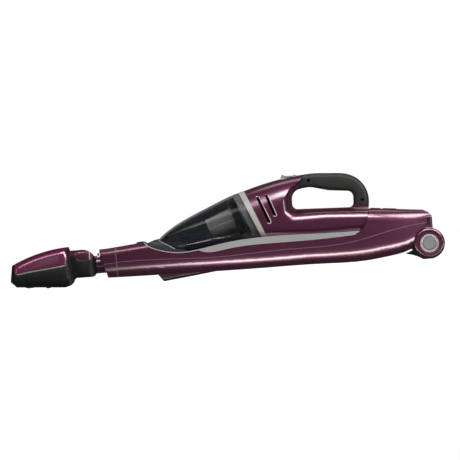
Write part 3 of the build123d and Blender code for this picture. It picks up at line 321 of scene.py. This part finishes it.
# Smoked cup: each face that a ray passes counts depthStep, and from farFrom on it is the far wall,
# which shows darker, as it is seen through the smoke twice
smokeSet = {
    "haze": 30.0,
    "depthStep": 0.25,
    "farFrom": 0.45,
    "nearWall": "#f6f6f8",
    "farWall": "#24262c",
    "shadow": "#f2f2f2",
    "smoke": "#8a8d96",
    "densityPerMm": 0.26,
}


def smokedPolycarbonate():
    # injection-moulded polycarbonate with a smoke tint: dark, see-through, polished on both sides
    material, tree = newMaterial("smokedPolycarbonate")
    place = addNode(tree, "ShaderNodeTexCoord")
    haze = addNode(tree, "ShaderNodeTexNoise", inputs={
        "Vector": place.outputs["Object"], "Scale": 1 / (smokeSet["haze"] * mm), "Detail": 2.0})
    shine = addNode(tree, "ShaderNodeMapRange", inputs={
        "Value": haze.outputs["Fac"], "To Min": 0.04, "To Max": 0.1})
    path = addNode(tree, "ShaderNodeLightPath")
    depth = addNode(tree, "ShaderNodeMath", {"operation": "MULTIPLY"},
                    {0: path.outputs["Transmission Depth"], 1: smokeSet["depthStep"]})
    near, far = linearColour(smokeSet["nearWall"]), linearColour(smokeSet["farWall"])
    wall = addNode(tree, "ShaderNodeValToRGB", inputs={"Fac": depth.outputs[0]},
                   stops=((0, near), (smokeSet["farFrom"], far)))
    wall.color_ramp.interpolation = "CONSTANT"
    glass = addNode(tree, "ShaderNodeBsdfPrincipled", inputs={
        "Base Color": wall.outputs["Color"], "Roughness": shine.outputs[0], "IOR": 1.3,
        "Transmission Weight": 1.0})
    clear = addNode(tree, "ShaderNodeBsdfTransparent", inputs={"Color": linearColour(smokeSet["shadow"])})
    surface = addNode(tree, "ShaderNodeMixShader", inputs={
        0: path.outputs["Is Shadow Ray"], 1: glass.outputs[0], 2: clear.outputs[0]})
    smoke = addNode(tree, "ShaderNodeVolumeAbsorption", inputs={
        "Color": linearColour(smokeSet["smoke"]), "Density": smokeSet["densityPerMm"] / mm})
    closeMaterial(tree, surface, smoke)
    return material


# Felt: real fibres are 0.02 mm, drawn coarser to show
feltSet = {"fibre": 1.2, "dark": (0.3, "#dcdbd3"), "light": (0.7, "#f6f6f1"), "relief": 0.3}


def pressedFelt():
    # polyester filter felt: white, dull, with a tangle of fibres and a soft fuzz at its edges
    material, tree = newMaterial("filterFelt")
    place = addNode(tree, "ShaderNodeTexCoord")
    fibres = addNode(tree, "ShaderNodeTexNoise", inputs={
        "Vector": place.outputs["Object"], "Scale": 1 / (feltSet["fibre"] * mm), "Detail": 6.0,
        "Distortion": 2.5})
    stops = [(share, linearColour(colour)) for share, colour in (feltSet["dark"], feltSet["light"])]
    shade = addNode(tree, "ShaderNodeValToRGB", inputs={"Fac": fibres.outputs["Fac"]}, stops=stops)
    relief = addNode(tree, "ShaderNodeBump", inputs={
        "Height": fibres.outputs["Fac"], "Strength": 0.5, "Distance": feltSet["relief"] * mm})
    closeMaterial(tree, addNode(tree, "ShaderNodeBsdfPrincipled", inputs={
        "Base Color": shade.outputs["Color"], "Roughness": 0.95, "Normal": relief.outputs[0],
        "Specular IOR Level": 0.1, "Sheen Weight": 0.2}))
    return material


# Steel: markCount turning marks lie side by side in a mark's length, drawn coarser than real to show
steelSet = {
    "mark": 4.0,
    "markCount": 12.0,
    "cloud": 6.0,
    "dark": "#9c9fa2",
    "light": "#c9cbcc",
    "relief": 0.05,
}


def turnedSteel():
    # zinc-plated steel: bright grey metal with fine turning marks across the axis and cloudy plating
    material, tree = newMaterial("zincSteel")
    place = addNode(tree, "ShaderNodeTexCoord")
    stretch = addNode(tree, "ShaderNodeMapping", inputs={
        "Vector": place.outputs["Object"], "Scale": (1.0, steelSet["markCount"], 1.0)})
    marks = addNode(tree, "ShaderNodeTexNoise", inputs={
        "Vector": stretch.outputs[0], "Scale": 1 / (steelSet["mark"] * mm), "Detail": 3.0})
    cloud = addNode(tree, "ShaderNodeTexNoise", inputs={
        "Vector": place.outputs["Object"], "Scale": 1 / (steelSet["cloud"] * mm), "Detail": 4.0})
    shade = addNode(tree, "ShaderNodeValToRGB", inputs={"Fac": cloud.outputs["Fac"]},
                    stops=((0, linearColour(steelSet["dark"])), (1, linearColour(steelSet["light"]))))
    shine = addNode(tree, "ShaderNodeMapRange", inputs={
        "Value": marks.outputs["Fac"], "To Min": 0.22, "To Max": 0.42})
    relief = addNode(tree, "ShaderNodeBump", inputs={
        "Height": marks.outputs["Fac"], "Strength": 0.15, "Distance": steelSet["relief"] * mm})
    closeMaterial(tree, addNode(tree, "ShaderNodeBsdfPrincipled", inputs={
        "Base Color": shade.outputs["Color"], "Metallic": 1.0, "Roughness": shine.outputs[0],
        "Normal": relief.outputs[0]}))
    return material


foamSet = {"pore": 1.0, "dark": "#050505", "light": "#151515", "relief": 0.6}


def openCellFoam():
    # black polyurethane foam: dead matt, with open pores about 1 mm across
    material, tree = newMaterial("openCellFoam")
    place = addNode(tree, "ShaderNodeTexCoord")
    pores = addNode(tree, "ShaderNodeTexVoronoi", inputs={
        "Vector": place.outputs["Object"], "Scale": 1 / (foamSet["pore"] * mm)})
    shade = addNode(tree, "ShaderNodeValToRGB", inputs={"Fac": pores.outputs["Distance"]},
                    stops=((0, linearColour(foamSet["dark"])), (1, linearColour(foamSet["light"]))))
    relief = addNode(tree, "ShaderNodeBump", inputs={
        "Height": pores.outputs["Distance"], "Strength": 0.8, "Distance": foamSet["relief"] * mm})
    closeMaterial(tree, addNode(tree, "ShaderNodeBsdfPrincipled", inputs={
        "Base Color": shade.outputs["Color"], "Roughness": 0.95, "Normal": relief.outputs[0],
        "Specular IOR Level": 0.1}))
    return material


# Finishes by material slot
finishes = {
    # lacquers: flake colours, metal, roughness and coat; the silver one is pale, with a weak glint
    "gloss_purple": flakeLacquer("aubergineMetallicAbs", ("#501935", "#561b3a"), 0.5, 0.34, 1.0),
    "silver_plastic": flakeLacquer("silverLacquer", ("#8a8388", "#a59ea3"), 0.15, 0.36, 0.15),
    # dark mouldings: near black and satin, with a duller, softly pebbled rubber on the grip
    "dark_plastic": mouldedPlastic("graphiteAbs", "#171817", 0.4, specular=0.2),
    "soft_grip": mouldedPlastic("softTouchRubber", "#232422", 0.5, grain=0.5, depth=0.2, specular=0.2),
    # pale mouldings: plain greys with a low sheen
    "grey_trim": mouldedPlastic("pearlGreyAbs", "#959596", 0.35, specular=0.3),
    "warm_grey": mouldedPlastic("warmGreyAbs", "#a3a19a", 0.4, specular=0.3),
    "grey_green": mouldedPlastic("greyGreenAbs", "#787b78", 0.45, specular=0.3),
    "smoked_clear": smokedPolycarbonate(),
    "filter_cloth": pressedFelt(),
    "steel": turnedSteel(),
    # inner pieces: milky ABS, smooth nylon strands, dull rubber, shiny sleeve film and varnished board
    "inner_plastic": mouldedPlastic("naturalAbs", "#e4e3dc", 0.5),
    "bristle_nylon": mouldedPlastic("nylonBristle", "#3d3f44", 0.45),
    "belt_rubber": mouldedPlastic("nitrileRubber", "#171717", 0.7),
    "cell_sleeve": mouldedPlastic("shrinkSleeve", "#2a5590", 0.3),
    "board_green": mouldedPlastic("solderMask", "#1c5a36", 0.35),
}
# pieces whose finish differs from their slot's
ownFinish = {
    # behind the exhaust slots the foam's near black is its own colour and also paints the shade deep in the slots
    "exhaust_screens": openCellFoam(),
    # the screws are near black, which paints the shade in their deep holes
    "grip_screws": mouldedPlastic("holeShadeBlackSteel", "#0b0b0c", 0.5, specular=0.3),
    "collar_ring": mouldedPlastic("mauveSeal", "#6f5865", 0.4),
    # the seams' pale mauve is a painted highlight along the lit parting line
    "body_seam": mouldedPlastic("seamHighlightMauve", "#8d6c7c", 0.4),
    # the head cover is a lighter copy of the shell lacquer, which paints the brighter magenta sheen on its side
    "head_cover": flakeLacquer("sheenMagentaMetallicAbs", ("#6a2347", "#74284f"), 0.5, 0.34, 1.0),
    "nose_socket": mouldedPlastic("ashGreyAbs", "#2f3533", 0.42, specular=0.2),
    "neck_latch": mouldedPlastic("latchGreyAbs", "#8f8b8e", 0.4, specular=0.3),
    "inlet_duct": mouldedPlastic("greyDuctAbs", "#5e6562", 0.45, specular=0.2),
    # the vent lips' pale rose is a painted highlight on the lit edge of each slot
    "vent_lip": mouldedPlastic("roseHighlightLacquer", "#c8aebb", 0.3),
}
for node, slot in slotOf.items():
    mesh = nodes[node].data
    mesh.materials.clear()
    mesh.materials.append(ownFinish.get(node, finishes[slot]))
print("finishes on all nodes")

# New pieces: loose triangles join within joinWithin mm, and edges from sharpFrom degrees stay crisp;
# a share in a piece's values, such as upShare, is what a part of a face's normal is compared with
pieceSet = {"joinWithin": 0.01, "sharpFrom": 35.0}


def copySkin(name, source):
    # a copy of a node's mesh with its loose triangles joined, selected and active
    piece = bpy.data.objects.new(name, nodes[source].data.copy())
    bpy.context.scene.collection.objects.link(piece)
    bpy.ops.object.select_all(action="DESELECT")
    piece.select_set(True)
    bpy.context.view_layer.objects.active = piece
    bpy.ops.mesh.customdata_custom_splitnormals_clear()
    bpy.ops.object.mode_set(mode="EDIT")
    bpy.ops.mesh.select_all(action="SELECT")
    bpy.ops.mesh.remove_doubles(threshold=pieceSet["joinWithin"] * mm)
    bpy.ops.object.mode_set(mode="OBJECT")
    return piece


def cutAway(planes):
    # cuts the active piece at each plane and takes off what lies beyond it
    bpy.ops.object.mode_set(mode="EDIT")
    for place, outward in planes:
        bpy.ops.mesh.select_all(action="SELECT")
        bpy.ops.mesh.bisect(plane_co=place, plane_no=outward, clear_outer=True)
    bpy.ops.object.mode_set(mode="OBJECT")


def dropFaces(rule):
    # deletes the faces of the active piece that the rule takes
    bpy.ops.object.mode_set(mode="EDIT")
    bpy.ops.mesh.select_mode(type="FACE")
    bpy.ops.mesh.select_all(action="DESELECT")
    bpy.ops.object.mode_set(mode="OBJECT")
    for face in bpy.context.object.data.polygons:
        face.select = rule(face)
    bpy.ops.object.mode_set(mode="EDIT")
    bpy.ops.mesh.delete(type="FACE")
    bpy.ops.object.mode_set(mode="OBJECT")


def pickVertices(rule):
    # leaves the active piece in edit mode with just the vertices selected that the rule takes
    bpy.ops.object.mode_set(mode="EDIT")
    bpy.ops.mesh.select_mode(type="VERT")
    bpy.ops.mesh.select_all(action="DESELECT")
    bpy.ops.object.mode_set(mode="OBJECT")
    for vertex in bpy.context.object.data.vertices:
        vertex.select = rule(vertex.co)
    bpy.ops.object.mode_set(mode="EDIT")


def applyModifier(kind, **settings):
    piece = bpy.context.object
    modifier = piece.modifiers.new(kind.lower(), kind)
    for name, value in settings.items():
        setattr(modifier, name, value)
    bpy.ops.object.modifier_apply(modifier=modifier.name)


def keepPiece(name, body, material, replaced=None):
    # puts the active piece at the origin with its place in its mesh, and ties it to its body
    piece = bpy.context.object
    piece.name = name
    bpy.ops.object.transform_apply(location=True, rotation=True, scale=True)
    bpy.ops.object.shade_smooth_by_angle(angle=math.radians(pieceSet["sharpFrom"]))
    piece.data.materials.clear()
    piece.data.materials.append(material)
    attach(piece, body)
    if replaced:
        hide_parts(replaced)


# Moulded shells: a copy of the solid with its triangles joined, so that round faces shade smoothly
shellSet = {
    "sharpFrom": 36.0,
    "pieces": (
        "upper_shell", "lower_shell", "neck_collar", "nose_socket", "trim_left", "trim_right", "end_cap",
        "hinge_cheek_left", "hinge_cheek_right", "hinge_bezel_left", "hinge_bezel_right", "hinge_cap",
        "neck_base", "neck_cover", "swivel_tube", "head_base", "head_cover", "sole_plate", "wheel_left",
        "wheel_right", "dust_cup", "cup_ring", "housing_left", "housing_right", "grip_left", "grip_right",
        "power_switch", "release_button", "mode_button", "hinge_button", "handle_knuckle", "handle_tube",
        "handle_grip"),
}


def smoothShell(name):
    shell = copySkin(name + "_shell", name)
    bpy.ops.object.shade_smooth_by_angle(angle=math.radians(shellSet["sharpFrom"]))
    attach(shell, bodyOf[name])
    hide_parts(name)


for shellName in shellSet["pieces"]:
    smoothShell(shellName)
print("shells smoothed,", len(shellSet["pieces"]))

# Head rim: the sloping edge of the floor head's base, coloured lighter than its sides as a painted highlight where
# it faces the light
rimSet = {
    "sideShare": (0.86, 0.93),
    "towardsCover": 0.25,
    "front": -357.0,
    "colour": "#626664",
    "roughness": 0.3,
}


def paintRimHighlight():
    shell = bpy.data.objects["head_base_shell"]
    shell.data.materials.append(mouldedPlastic("rimHighlightGraphiteAbs", rimSet["colour"], rimSet["roughness"]))
    low, high = rimSet["sideShare"]
    for face in shell.data.polygons:
        sideways = low < abs(face.normal.y) < high
        sloping = max(face.normal.z, -face.normal.x) > rimSet["towardsCover"]
        if sideways and sloping and face.center.x > rimSet["front"] * mm:
            face.material_index = 1


paintRimHighlight()
# the rim's lighter colour is a painted highlight
print("head rim polished")

# Body seam: thin bead in the parting line between the two shells, taken from the lower shell's upper edge; its
# pale mauve is a painted highlight along that lit edge
seamSet = {"stretch": 12.0, "depth": 2.5, "upShare": 0.75, "bead": 0.5, "proud": 0.25, "proudAt": 50.0}


def addSeam():
    seam = copySkin("body_seam", "lower_shell")
    stretch = seamSet["stretch"] * mm
    crest = {}  # the shell's highest point in each stretch of its length
    for vertex in seam.data.vertices:
        number = round(vertex.co.x / stretch)
        crest[number] = max(crest.get(number, 0), vertex.co.z)

    def offTheEdge(face):
        edge = crest.get(round(face.center.x / stretch), 0)
        return face.center.z < edge - seamSet["depth"] * mm or face.normal.z < seamSet["upShare"]

    dropFaces(offTheEdge)
    applyModifier("SOLIDIFY", thickness=seamSet["bead"] * mm, offset=0)
    wider = 1 + seamSet["proud"] / seamSet["proudAt"]
    bpy.ops.object.mode_set(mode="EDIT")
    bpy.ops.mesh.select_all(action="SELECT")
    bpy.ops.mesh.normals_make_consistent(inside=False)
    bpy.ops.transform.resize(value=(1, wider, 1), center_override=(0, 0, 0))
    bpy.ops.object.mode_set(mode="OBJECT")
    keepPiece("body_seam", "main_body", ownFinish["body_seam"])


addSeam()
print("body seam made")

# Collar seam: the parting line runs on across the lower end collar, cut as a band from the collar's own skin; it
# has the body seam's pale mauve, a painted highlight
collarSeamSet = {
    "place": (-200.0, 0.0, 37.25),
    "up": (-0.031, 0.0, 1.0),
    "halfBand": 0.3,
    "sideShare": 0.5,
    "proud": 0.25,
}


def addCollarSeam():
    copySkin("collar_seam", "neck_collar")
    up = Vector(collarSeamSet["up"]).normalized()
    place = Vector(collarSeamSet["place"]) * mm
    half = up * collarSeamSet["halfBand"] * mm
    cutAway(((place - half, -up), (place + half, up)))
    sideShare = collarSeamSet["sideShare"]
    dropFaces(lambda face: face.normal.y * face.center.y < 0 or abs(face.normal.y) < sideShare)
    applyModifier("SOLIDIFY", thickness=collarSeamSet["proud"] * mm, offset=1)
    keepPiece("collar_seam", "main_body", ownFinish["body_seam"])


addCollarSeam()
print("collar seam made")

# Nose step: low dark tab on the body's crest before the nose socket, cut from the upper shell's own skin
stepSet = {
    "from": -151.0,
    "to": -131.5,
    "halfWidth": 13.0,
    "upShare": 0.3,
    "height": 1.9,
    "round": 0.7,
    "roundSteps": 3,
}


def addStep():
    copySkin("nose_step", "upper_shell")
    sides = (
        ((stepSet["from"], 0, 0), (-1, 0, 0)),
        ((stepSet["to"], 0, 0), (1, 0, 0)),
        ((0, -stepSet["halfWidth"], 0), (0, -1, 0)),
        ((0, stepSet["halfWidth"], 0), (0, 1, 0)),
    )
    cutAway([(Vector(place) * mm, outward) for place, outward in sides])
    dropFaces(lambda face: face.normal.z < stepSet["upShare"])
    applyModifier("SOLIDIFY", thickness=stepSet["height"] * mm, offset=1)
    applyModifier("BEVEL", width=stepSet["round"] * mm, segments=stepSet["roundSteps"], limit_method="ANGLE")
    keepPiece("nose_step", "main_body", finishes["dark_plastic"])


addStep()
print("nose step made")

# Brush: tufts of tapered nylon strands in two helical rows, each tuft rooted in a strip on the roll's sleeve
brushSet = {
    "low": -103.0,
    "high": 91.5,
    "firstStrand": -101.0,
    "pitch": 2.458,
    "tufts": 78,
    "sleeve": 12.0,
    "sleeveWall": 1.1,
    "sleeveSides": 64,
    "sleeveRound": 0.3,
    "stripWidth": 3.4,
    "stripTop": 12.9,
    "stripSink": 0.3,
    "root": 11.5,
    "tip": 20.2,
    "strandSides": 4,
    "strandRoot": 0.4,
    "strandTip": 0.2,
    "lean": 5.0,
    "turn": 2 * math.pi,  # of a row, from one end to the other
    "headTilt": 4.874,  # the head lies level where the stick climbs
    "strands": ((-0.8, -0.82), (0.0, -0.82), (0.8, -0.82), (-0.4, 0.0), (0.4, 0.0),
                (-0.8, 0.82), (0.0, 0.82), (0.8, 0.82)),
}


def addTuft():
    # one tuft on its piece of strip, standing for two strands of the solid and so half way between them
    middle = brushSet["pitch"] / 4 * mm
    stripLow = (brushSet["sleeve"] - brushSet["stripSink"]) * mm
    stripTop = brushSet["stripTop"] * mm
    bpy.ops.object.select_all(action="DESELECT")
    bpy.ops.mesh.primitive_cube_add(size=1, location=(0, 0, 0))
    bpy.ops.object.mode_set(mode="EDIT")
    strip = (brushSet["stripWidth"] * mm, brushSet["pitch"] * mm, stripTop - stripLow)
    bpy.ops.transform.resize(value=strip)
    bpy.ops.transform.translate(value=(0, middle, (stripLow + stripTop) / 2))
    length = (brushSet["tip"] - brushSet["root"]) * mm
    for across, along in brushSet["strands"]:
        bpy.ops.mesh.primitive_cone_add(
            vertices=brushSet["strandSides"], radius1=brushSet["strandRoot"] * mm,
            radius2=brushSet["strandTip"] * mm, depth=length,
            location=(across * mm, middle + along * mm, brushSet["root"] * mm + length / 2),
            rotation=(0, math.radians(brushSet["lean"]) * across, 0))
    bpy.ops.object.mode_set(mode="OBJECT")


def addSleeve():
    bpy.ops.object.select_all(action="DESELECT")
    bpy.ops.mesh.primitive_cylinder_add(
        vertices=brushSet["sleeveSides"], radius=brushSet["sleeve"] * mm,
        depth=(brushSet["high"] - brushSet["low"]) * mm, end_fill_type="NOTHING",
        location=(0, (brushSet["low"] + brushSet["high"]) / 2 * mm, 0), rotation=(math.radians(90), 0, 0))
    applyModifier("SOLIDIFY", thickness=brushSet["sleeveWall"] * mm, offset=-1)
    applyModifier("BEVEL", width=brushSet["sleeveRound"] * mm, segments=2)
    bpy.ops.object.transform_apply(location=True, rotation=True)


def addBrush():
    addTuft()
    brush = bpy.context.object
    applyModifier("ARRAY", count=brushSet["tufts"], use_relative_offset=False, use_constant_offset=True,
                  constant_offset_displace=(0, brushSet["pitch"] * mm, 0))
    bpy.ops.object.mode_set(mode="EDIT")
    bpy.ops.mesh.select_all(action="SELECT")
    bpy.ops.mesh.duplicate()
    bpy.ops.transform.rotate(value=math.pi, orient_axis="Y", center_override=(0, 0, 0))
    bpy.ops.object.mode_set(mode="OBJECT")
    applyModifier("SIMPLE_DEFORM", deform_method="TWIST", deform_axis="Y", angle=brushSet["turn"])
    brush.location = (0, brushSet["firstStrand"] * mm, 0)
    bpy.ops.object.transform_apply(location=True)
    addSleeve()
    brush.select_set(True)
    bpy.context.view_layer.objects.active = brush
    bpy.ops.object.join()
    brush.location = jointAt["brush_spin"].x, 0, jointAt["brush_spin"].z
    brush.rotation_euler = (0, math.radians(brushSet["headTilt"]), 0)
    keepPiece("brush_tufts", "brush_roll", finishes["bristle_nylon"], "brush_bristles")


addBrush()
print("brush made")

# Filter: folded felt cone with a potted end, seen through the smoked cup
filterSet = {
    "start": (-28.5, 0.0, 81.0),
    "lean": 74.4,
    "length": 44.64,
    "startRadius": 16.0,
    "endRadius": 20.5,
    "pleats": 36,
    "foldDepth": 0.87,  # of the radius, at the inner folds
    "sheet": 0.6,
    "potting": 2.4,
    "pottingSides": 64,
    "pottingRound": 0.5,
}


def addFilter():
    bpy.ops.object.select_all(action="DESELECT")
    length = filterSet["length"] * mm
    corners = 2 * filterSet["pleats"]
    bpy.ops.mesh.primitive_cone_add(
        vertices=corners, radius1=filterSet["startRadius"] * mm, radius2=filterSet["endRadius"] * mm,
        depth=length, end_fill_type="NOTHING", location=(0, 0, 0))
    cone = bpy.context.object
    pickVertices(lambda place: round(math.atan2(place.y, place.x) / (2 * math.pi / corners)) % 2 == 1)
    fold = filterSet["foldDepth"]
    bpy.ops.transform.resize(value=(fold, fold, 1), center_override=(0, 0, 0))
    bpy.ops.object.mode_set(mode="OBJECT")
    applyModifier("SOLIDIFY", thickness=filterSet["sheet"] * mm, offset=-1)
    bpy.ops.object.mode_set(mode="EDIT")
    bpy.ops.mesh.select_all(action="DESELECT")
    potting = filterSet["potting"] * mm
    bpy.ops.mesh.primitive_cylinder_add(
        vertices=filterSet["pottingSides"], radius=filterSet["startRadius"] * mm, depth=potting,
        location=(0, 0, (potting - length) / 2))
    bpy.ops.mesh.bevel(offset=filterSet["pottingRound"] * mm, segments=3, affect="EDGES")
    bpy.ops.mesh.select_all(action="SELECT")
    bpy.ops.transform.translate(value=(0, 0, length / 2))
    bpy.ops.object.mode_set(mode="OBJECT")
    cone.location = Vector(filterSet["start"]) * mm
    cone.rotation_euler = (0, math.radians(filterSet["lean"]), 0)
    keepPiece("filter_pleats", "hand_vacuum", finishes["filter_cloth"], "filter_cone")


addFilter()
print("filter made")

# Filter seal: black rubber sleeve on the collar behind the filter, measured along the filter from its start
sealSet = {
    "from": 45.4,
    "to": 59.0,
    "startRadius": 26.9,
    "endRadius": 27.8,
    "sides": 96,
    "wall": 0.7,
    "round": 0.25,
}


def addSeal():
    bpy.ops.object.select_all(action="DESELECT")
    length = (sealSet["to"] - sealSet["from"]) * mm
    bpy.ops.mesh.primitive_cone_add(
        vertices=sealSet["sides"], radius1=sealSet["startRadius"] * mm, radius2=sealSet["endRadius"] * mm,
        depth=length, end_fill_type="NOTHING", location=(0, 0, 0))
    bpy.ops.object.mode_set(mode="EDIT")
    bpy.ops.transform.translate(value=(0, 0, sealSet["from"] * mm + length / 2))
    bpy.ops.object.mode_set(mode="OBJECT")
    applyModifier("SOLIDIFY", thickness=sealSet["wall"] * mm, offset=-1)
    applyModifier("BEVEL", width=sealSet["round"] * mm, segments=2)
    seal = bpy.context.object
    seal.location = Vector(filterSet["start"]) * mm
    seal.rotation_euler = (0, math.radians(filterSet["lean"]), 0)
    keepPiece("filter_seal", "hand_vacuum", finishes["belt_rubber"])


addSeal()
print("filter seal made")

# Cup flange: light lining at the wide end of the cup, cut from the cup's outer skin and set inside its wall
flangeSet = {
    "ringPoint": (26.5, 0.0, 137.0),
    "ringNormal": (0.9215, 0.0, 0.388),
    "middle": 90.0,
    "clear": 0.4,
    "width": 11.0,
    "endShare": 0.9,
    "inset": 2.9,
    "wall": 0.8,
}


def addFlange():
    copySkin("cup_flange", "dust_cup")
    normal = Vector(flangeSet["ringNormal"])
    edge = Vector(flangeSet["ringPoint"]) * mm
    narrowEnd = edge - normal * flangeSet["width"] * mm
    wideEnd = edge - normal * flangeSet["clear"] * mm
    cutAway(((narrowEnd, -normal), (wideEnd, normal)))

    def insideOrEnd(face):
        outward = Vector((0, face.center.y, face.center.z - flangeSet["middle"] * mm))
        return face.normal.dot(outward) < 0 or abs(face.normal.dot(normal)) > flangeSet["endShare"]

    dropFaces(insideOrEnd)
    bpy.ops.object.mode_set(mode="EDIT")
    bpy.ops.mesh.select_all(action="SELECT")
    bpy.ops.transform.shrink_fatten(value=-flangeSet["inset"] * mm)
    bpy.ops.object.mode_set(mode="OBJECT")
    applyModifier("SOLIDIFY", thickness=flangeSet["wall"] * mm, offset=-1)
    keepPiece("cup_flange", "hand_vacuum", finishes["inner_plastic"])


addFlange()
print("cup flange made")

# Charging pin: round-tipped centre contact in the jack
pinSet = {
    "low": 336.0,
    "high": 344.5,
    "height": 62.5,
    "radius": 0.65,
    "sides": 24,
    "round": 0.4,
    "roundSteps": 4,
}


def addPin():
    bpy.ops.object.select_all(action="DESELECT")
    bpy.ops.mesh.primitive_cylinder_add(
        vertices=pinSet["sides"], radius=pinSet["radius"] * mm, depth=(pinSet["high"] - pinSet["low"]) * mm,
        location=((pinSet["low"] + pinSet["high"]) / 2 * mm, 0, pinSet["height"] * mm),
        rotation=(0, math.radians(90), 0))
    applyModifier("BEVEL", width=pinSet["round"] * mm, segments=pinSet["roundSteps"])
    keepPiece("charge_pin", "main_body", finishes["steel"])


addPin()
print("charging pin made")

# Vent lips: a raised bead round the low end and one side of each exhaust slot, open at its top; its pale rose is a
# painted highlight on the slot's lit edge
lipSet = {
    "slots": (((57.5, 127.0), (74.0, 84.5)), ((72.6, 128.5), (84.2, 95.5))),
    "halfWidth": 2.9,
    "openFrom": 0.6,
    "sideSlack": 0.1,
    "steps": 32,
    "cuts": 3,
    "standOff": 80.0,
    "bead": 0.75,
    "beadSteps": 3,
    "sink": 0.25,
    "sides": (("left", -1), ("right", 1)),
}


def addLip(side, sign, number, top, low):
    # a ring, pulled apart to the length of the slot, cut to its lit side, laid on the housing and thickened
    bpy.ops.object.select_all(action="DESELECT")
    run = Vector((low[0] - top[0], 0, low[1] - top[1])) * mm
    bpy.ops.mesh.primitive_circle_add(vertices=lipSet["steps"], radius=lipSet["halfWidth"] * mm,
                                      rotation=(math.radians(90), 0, 0))
    bpy.ops.object.transform_apply(rotation=True)
    along = run.normalized()
    across = Vector((-along.z, 0, along.x))
    pickVertices(lambda place: place.dot(along) > 0)
    bpy.ops.transform.translate(value=run)
    pickVertices(lambda place: place.dot(along) < -lipSet["openFrom"] * mm
                 or place.dot(across) < -lipSet["sideSlack"] * mm and place.dot(along) < run.length)
    bpy.ops.mesh.delete(type="VERT")
    bpy.ops.mesh.select_all(action="SELECT")
    bpy.ops.mesh.subdivide(number_cuts=lipSet["cuts"])
    bpy.ops.transform.translate(value=(top[0] * mm, sign * lipSet["standOff"] * mm, top[1] * mm))
    bpy.ops.object.mode_set(mode="OBJECT")
    applyModifier("SHRINKWRAP", target=nodes["housing_" + side], wrap_method="PROJECT", use_project_y=True,
                  use_positive_direction=True, use_negative_direction=True)
    bpy.ops.object.convert(target="CURVE")
    line = bpy.context.object.data
    line.bevel_depth = lipSet["bead"] * mm
    line.bevel_resolution = lipSet["beadSteps"]
    line.use_fill_caps = True
    bpy.ops.object.convert(target="MESH")
    bpy.context.object.location = (0, -sign * lipSet["sink"] * mm, 0)
    keepPiece("vent_lip_" + side + "_" + str(number), "hand_vacuum", ownFinish["vent_lip"])


for side, sign in lipSet["sides"]:
    for number, (top, low) in enumerate(lipSet["slots"]):
        addLip(side, sign, number + 1, top, low)
print("vent lips made")
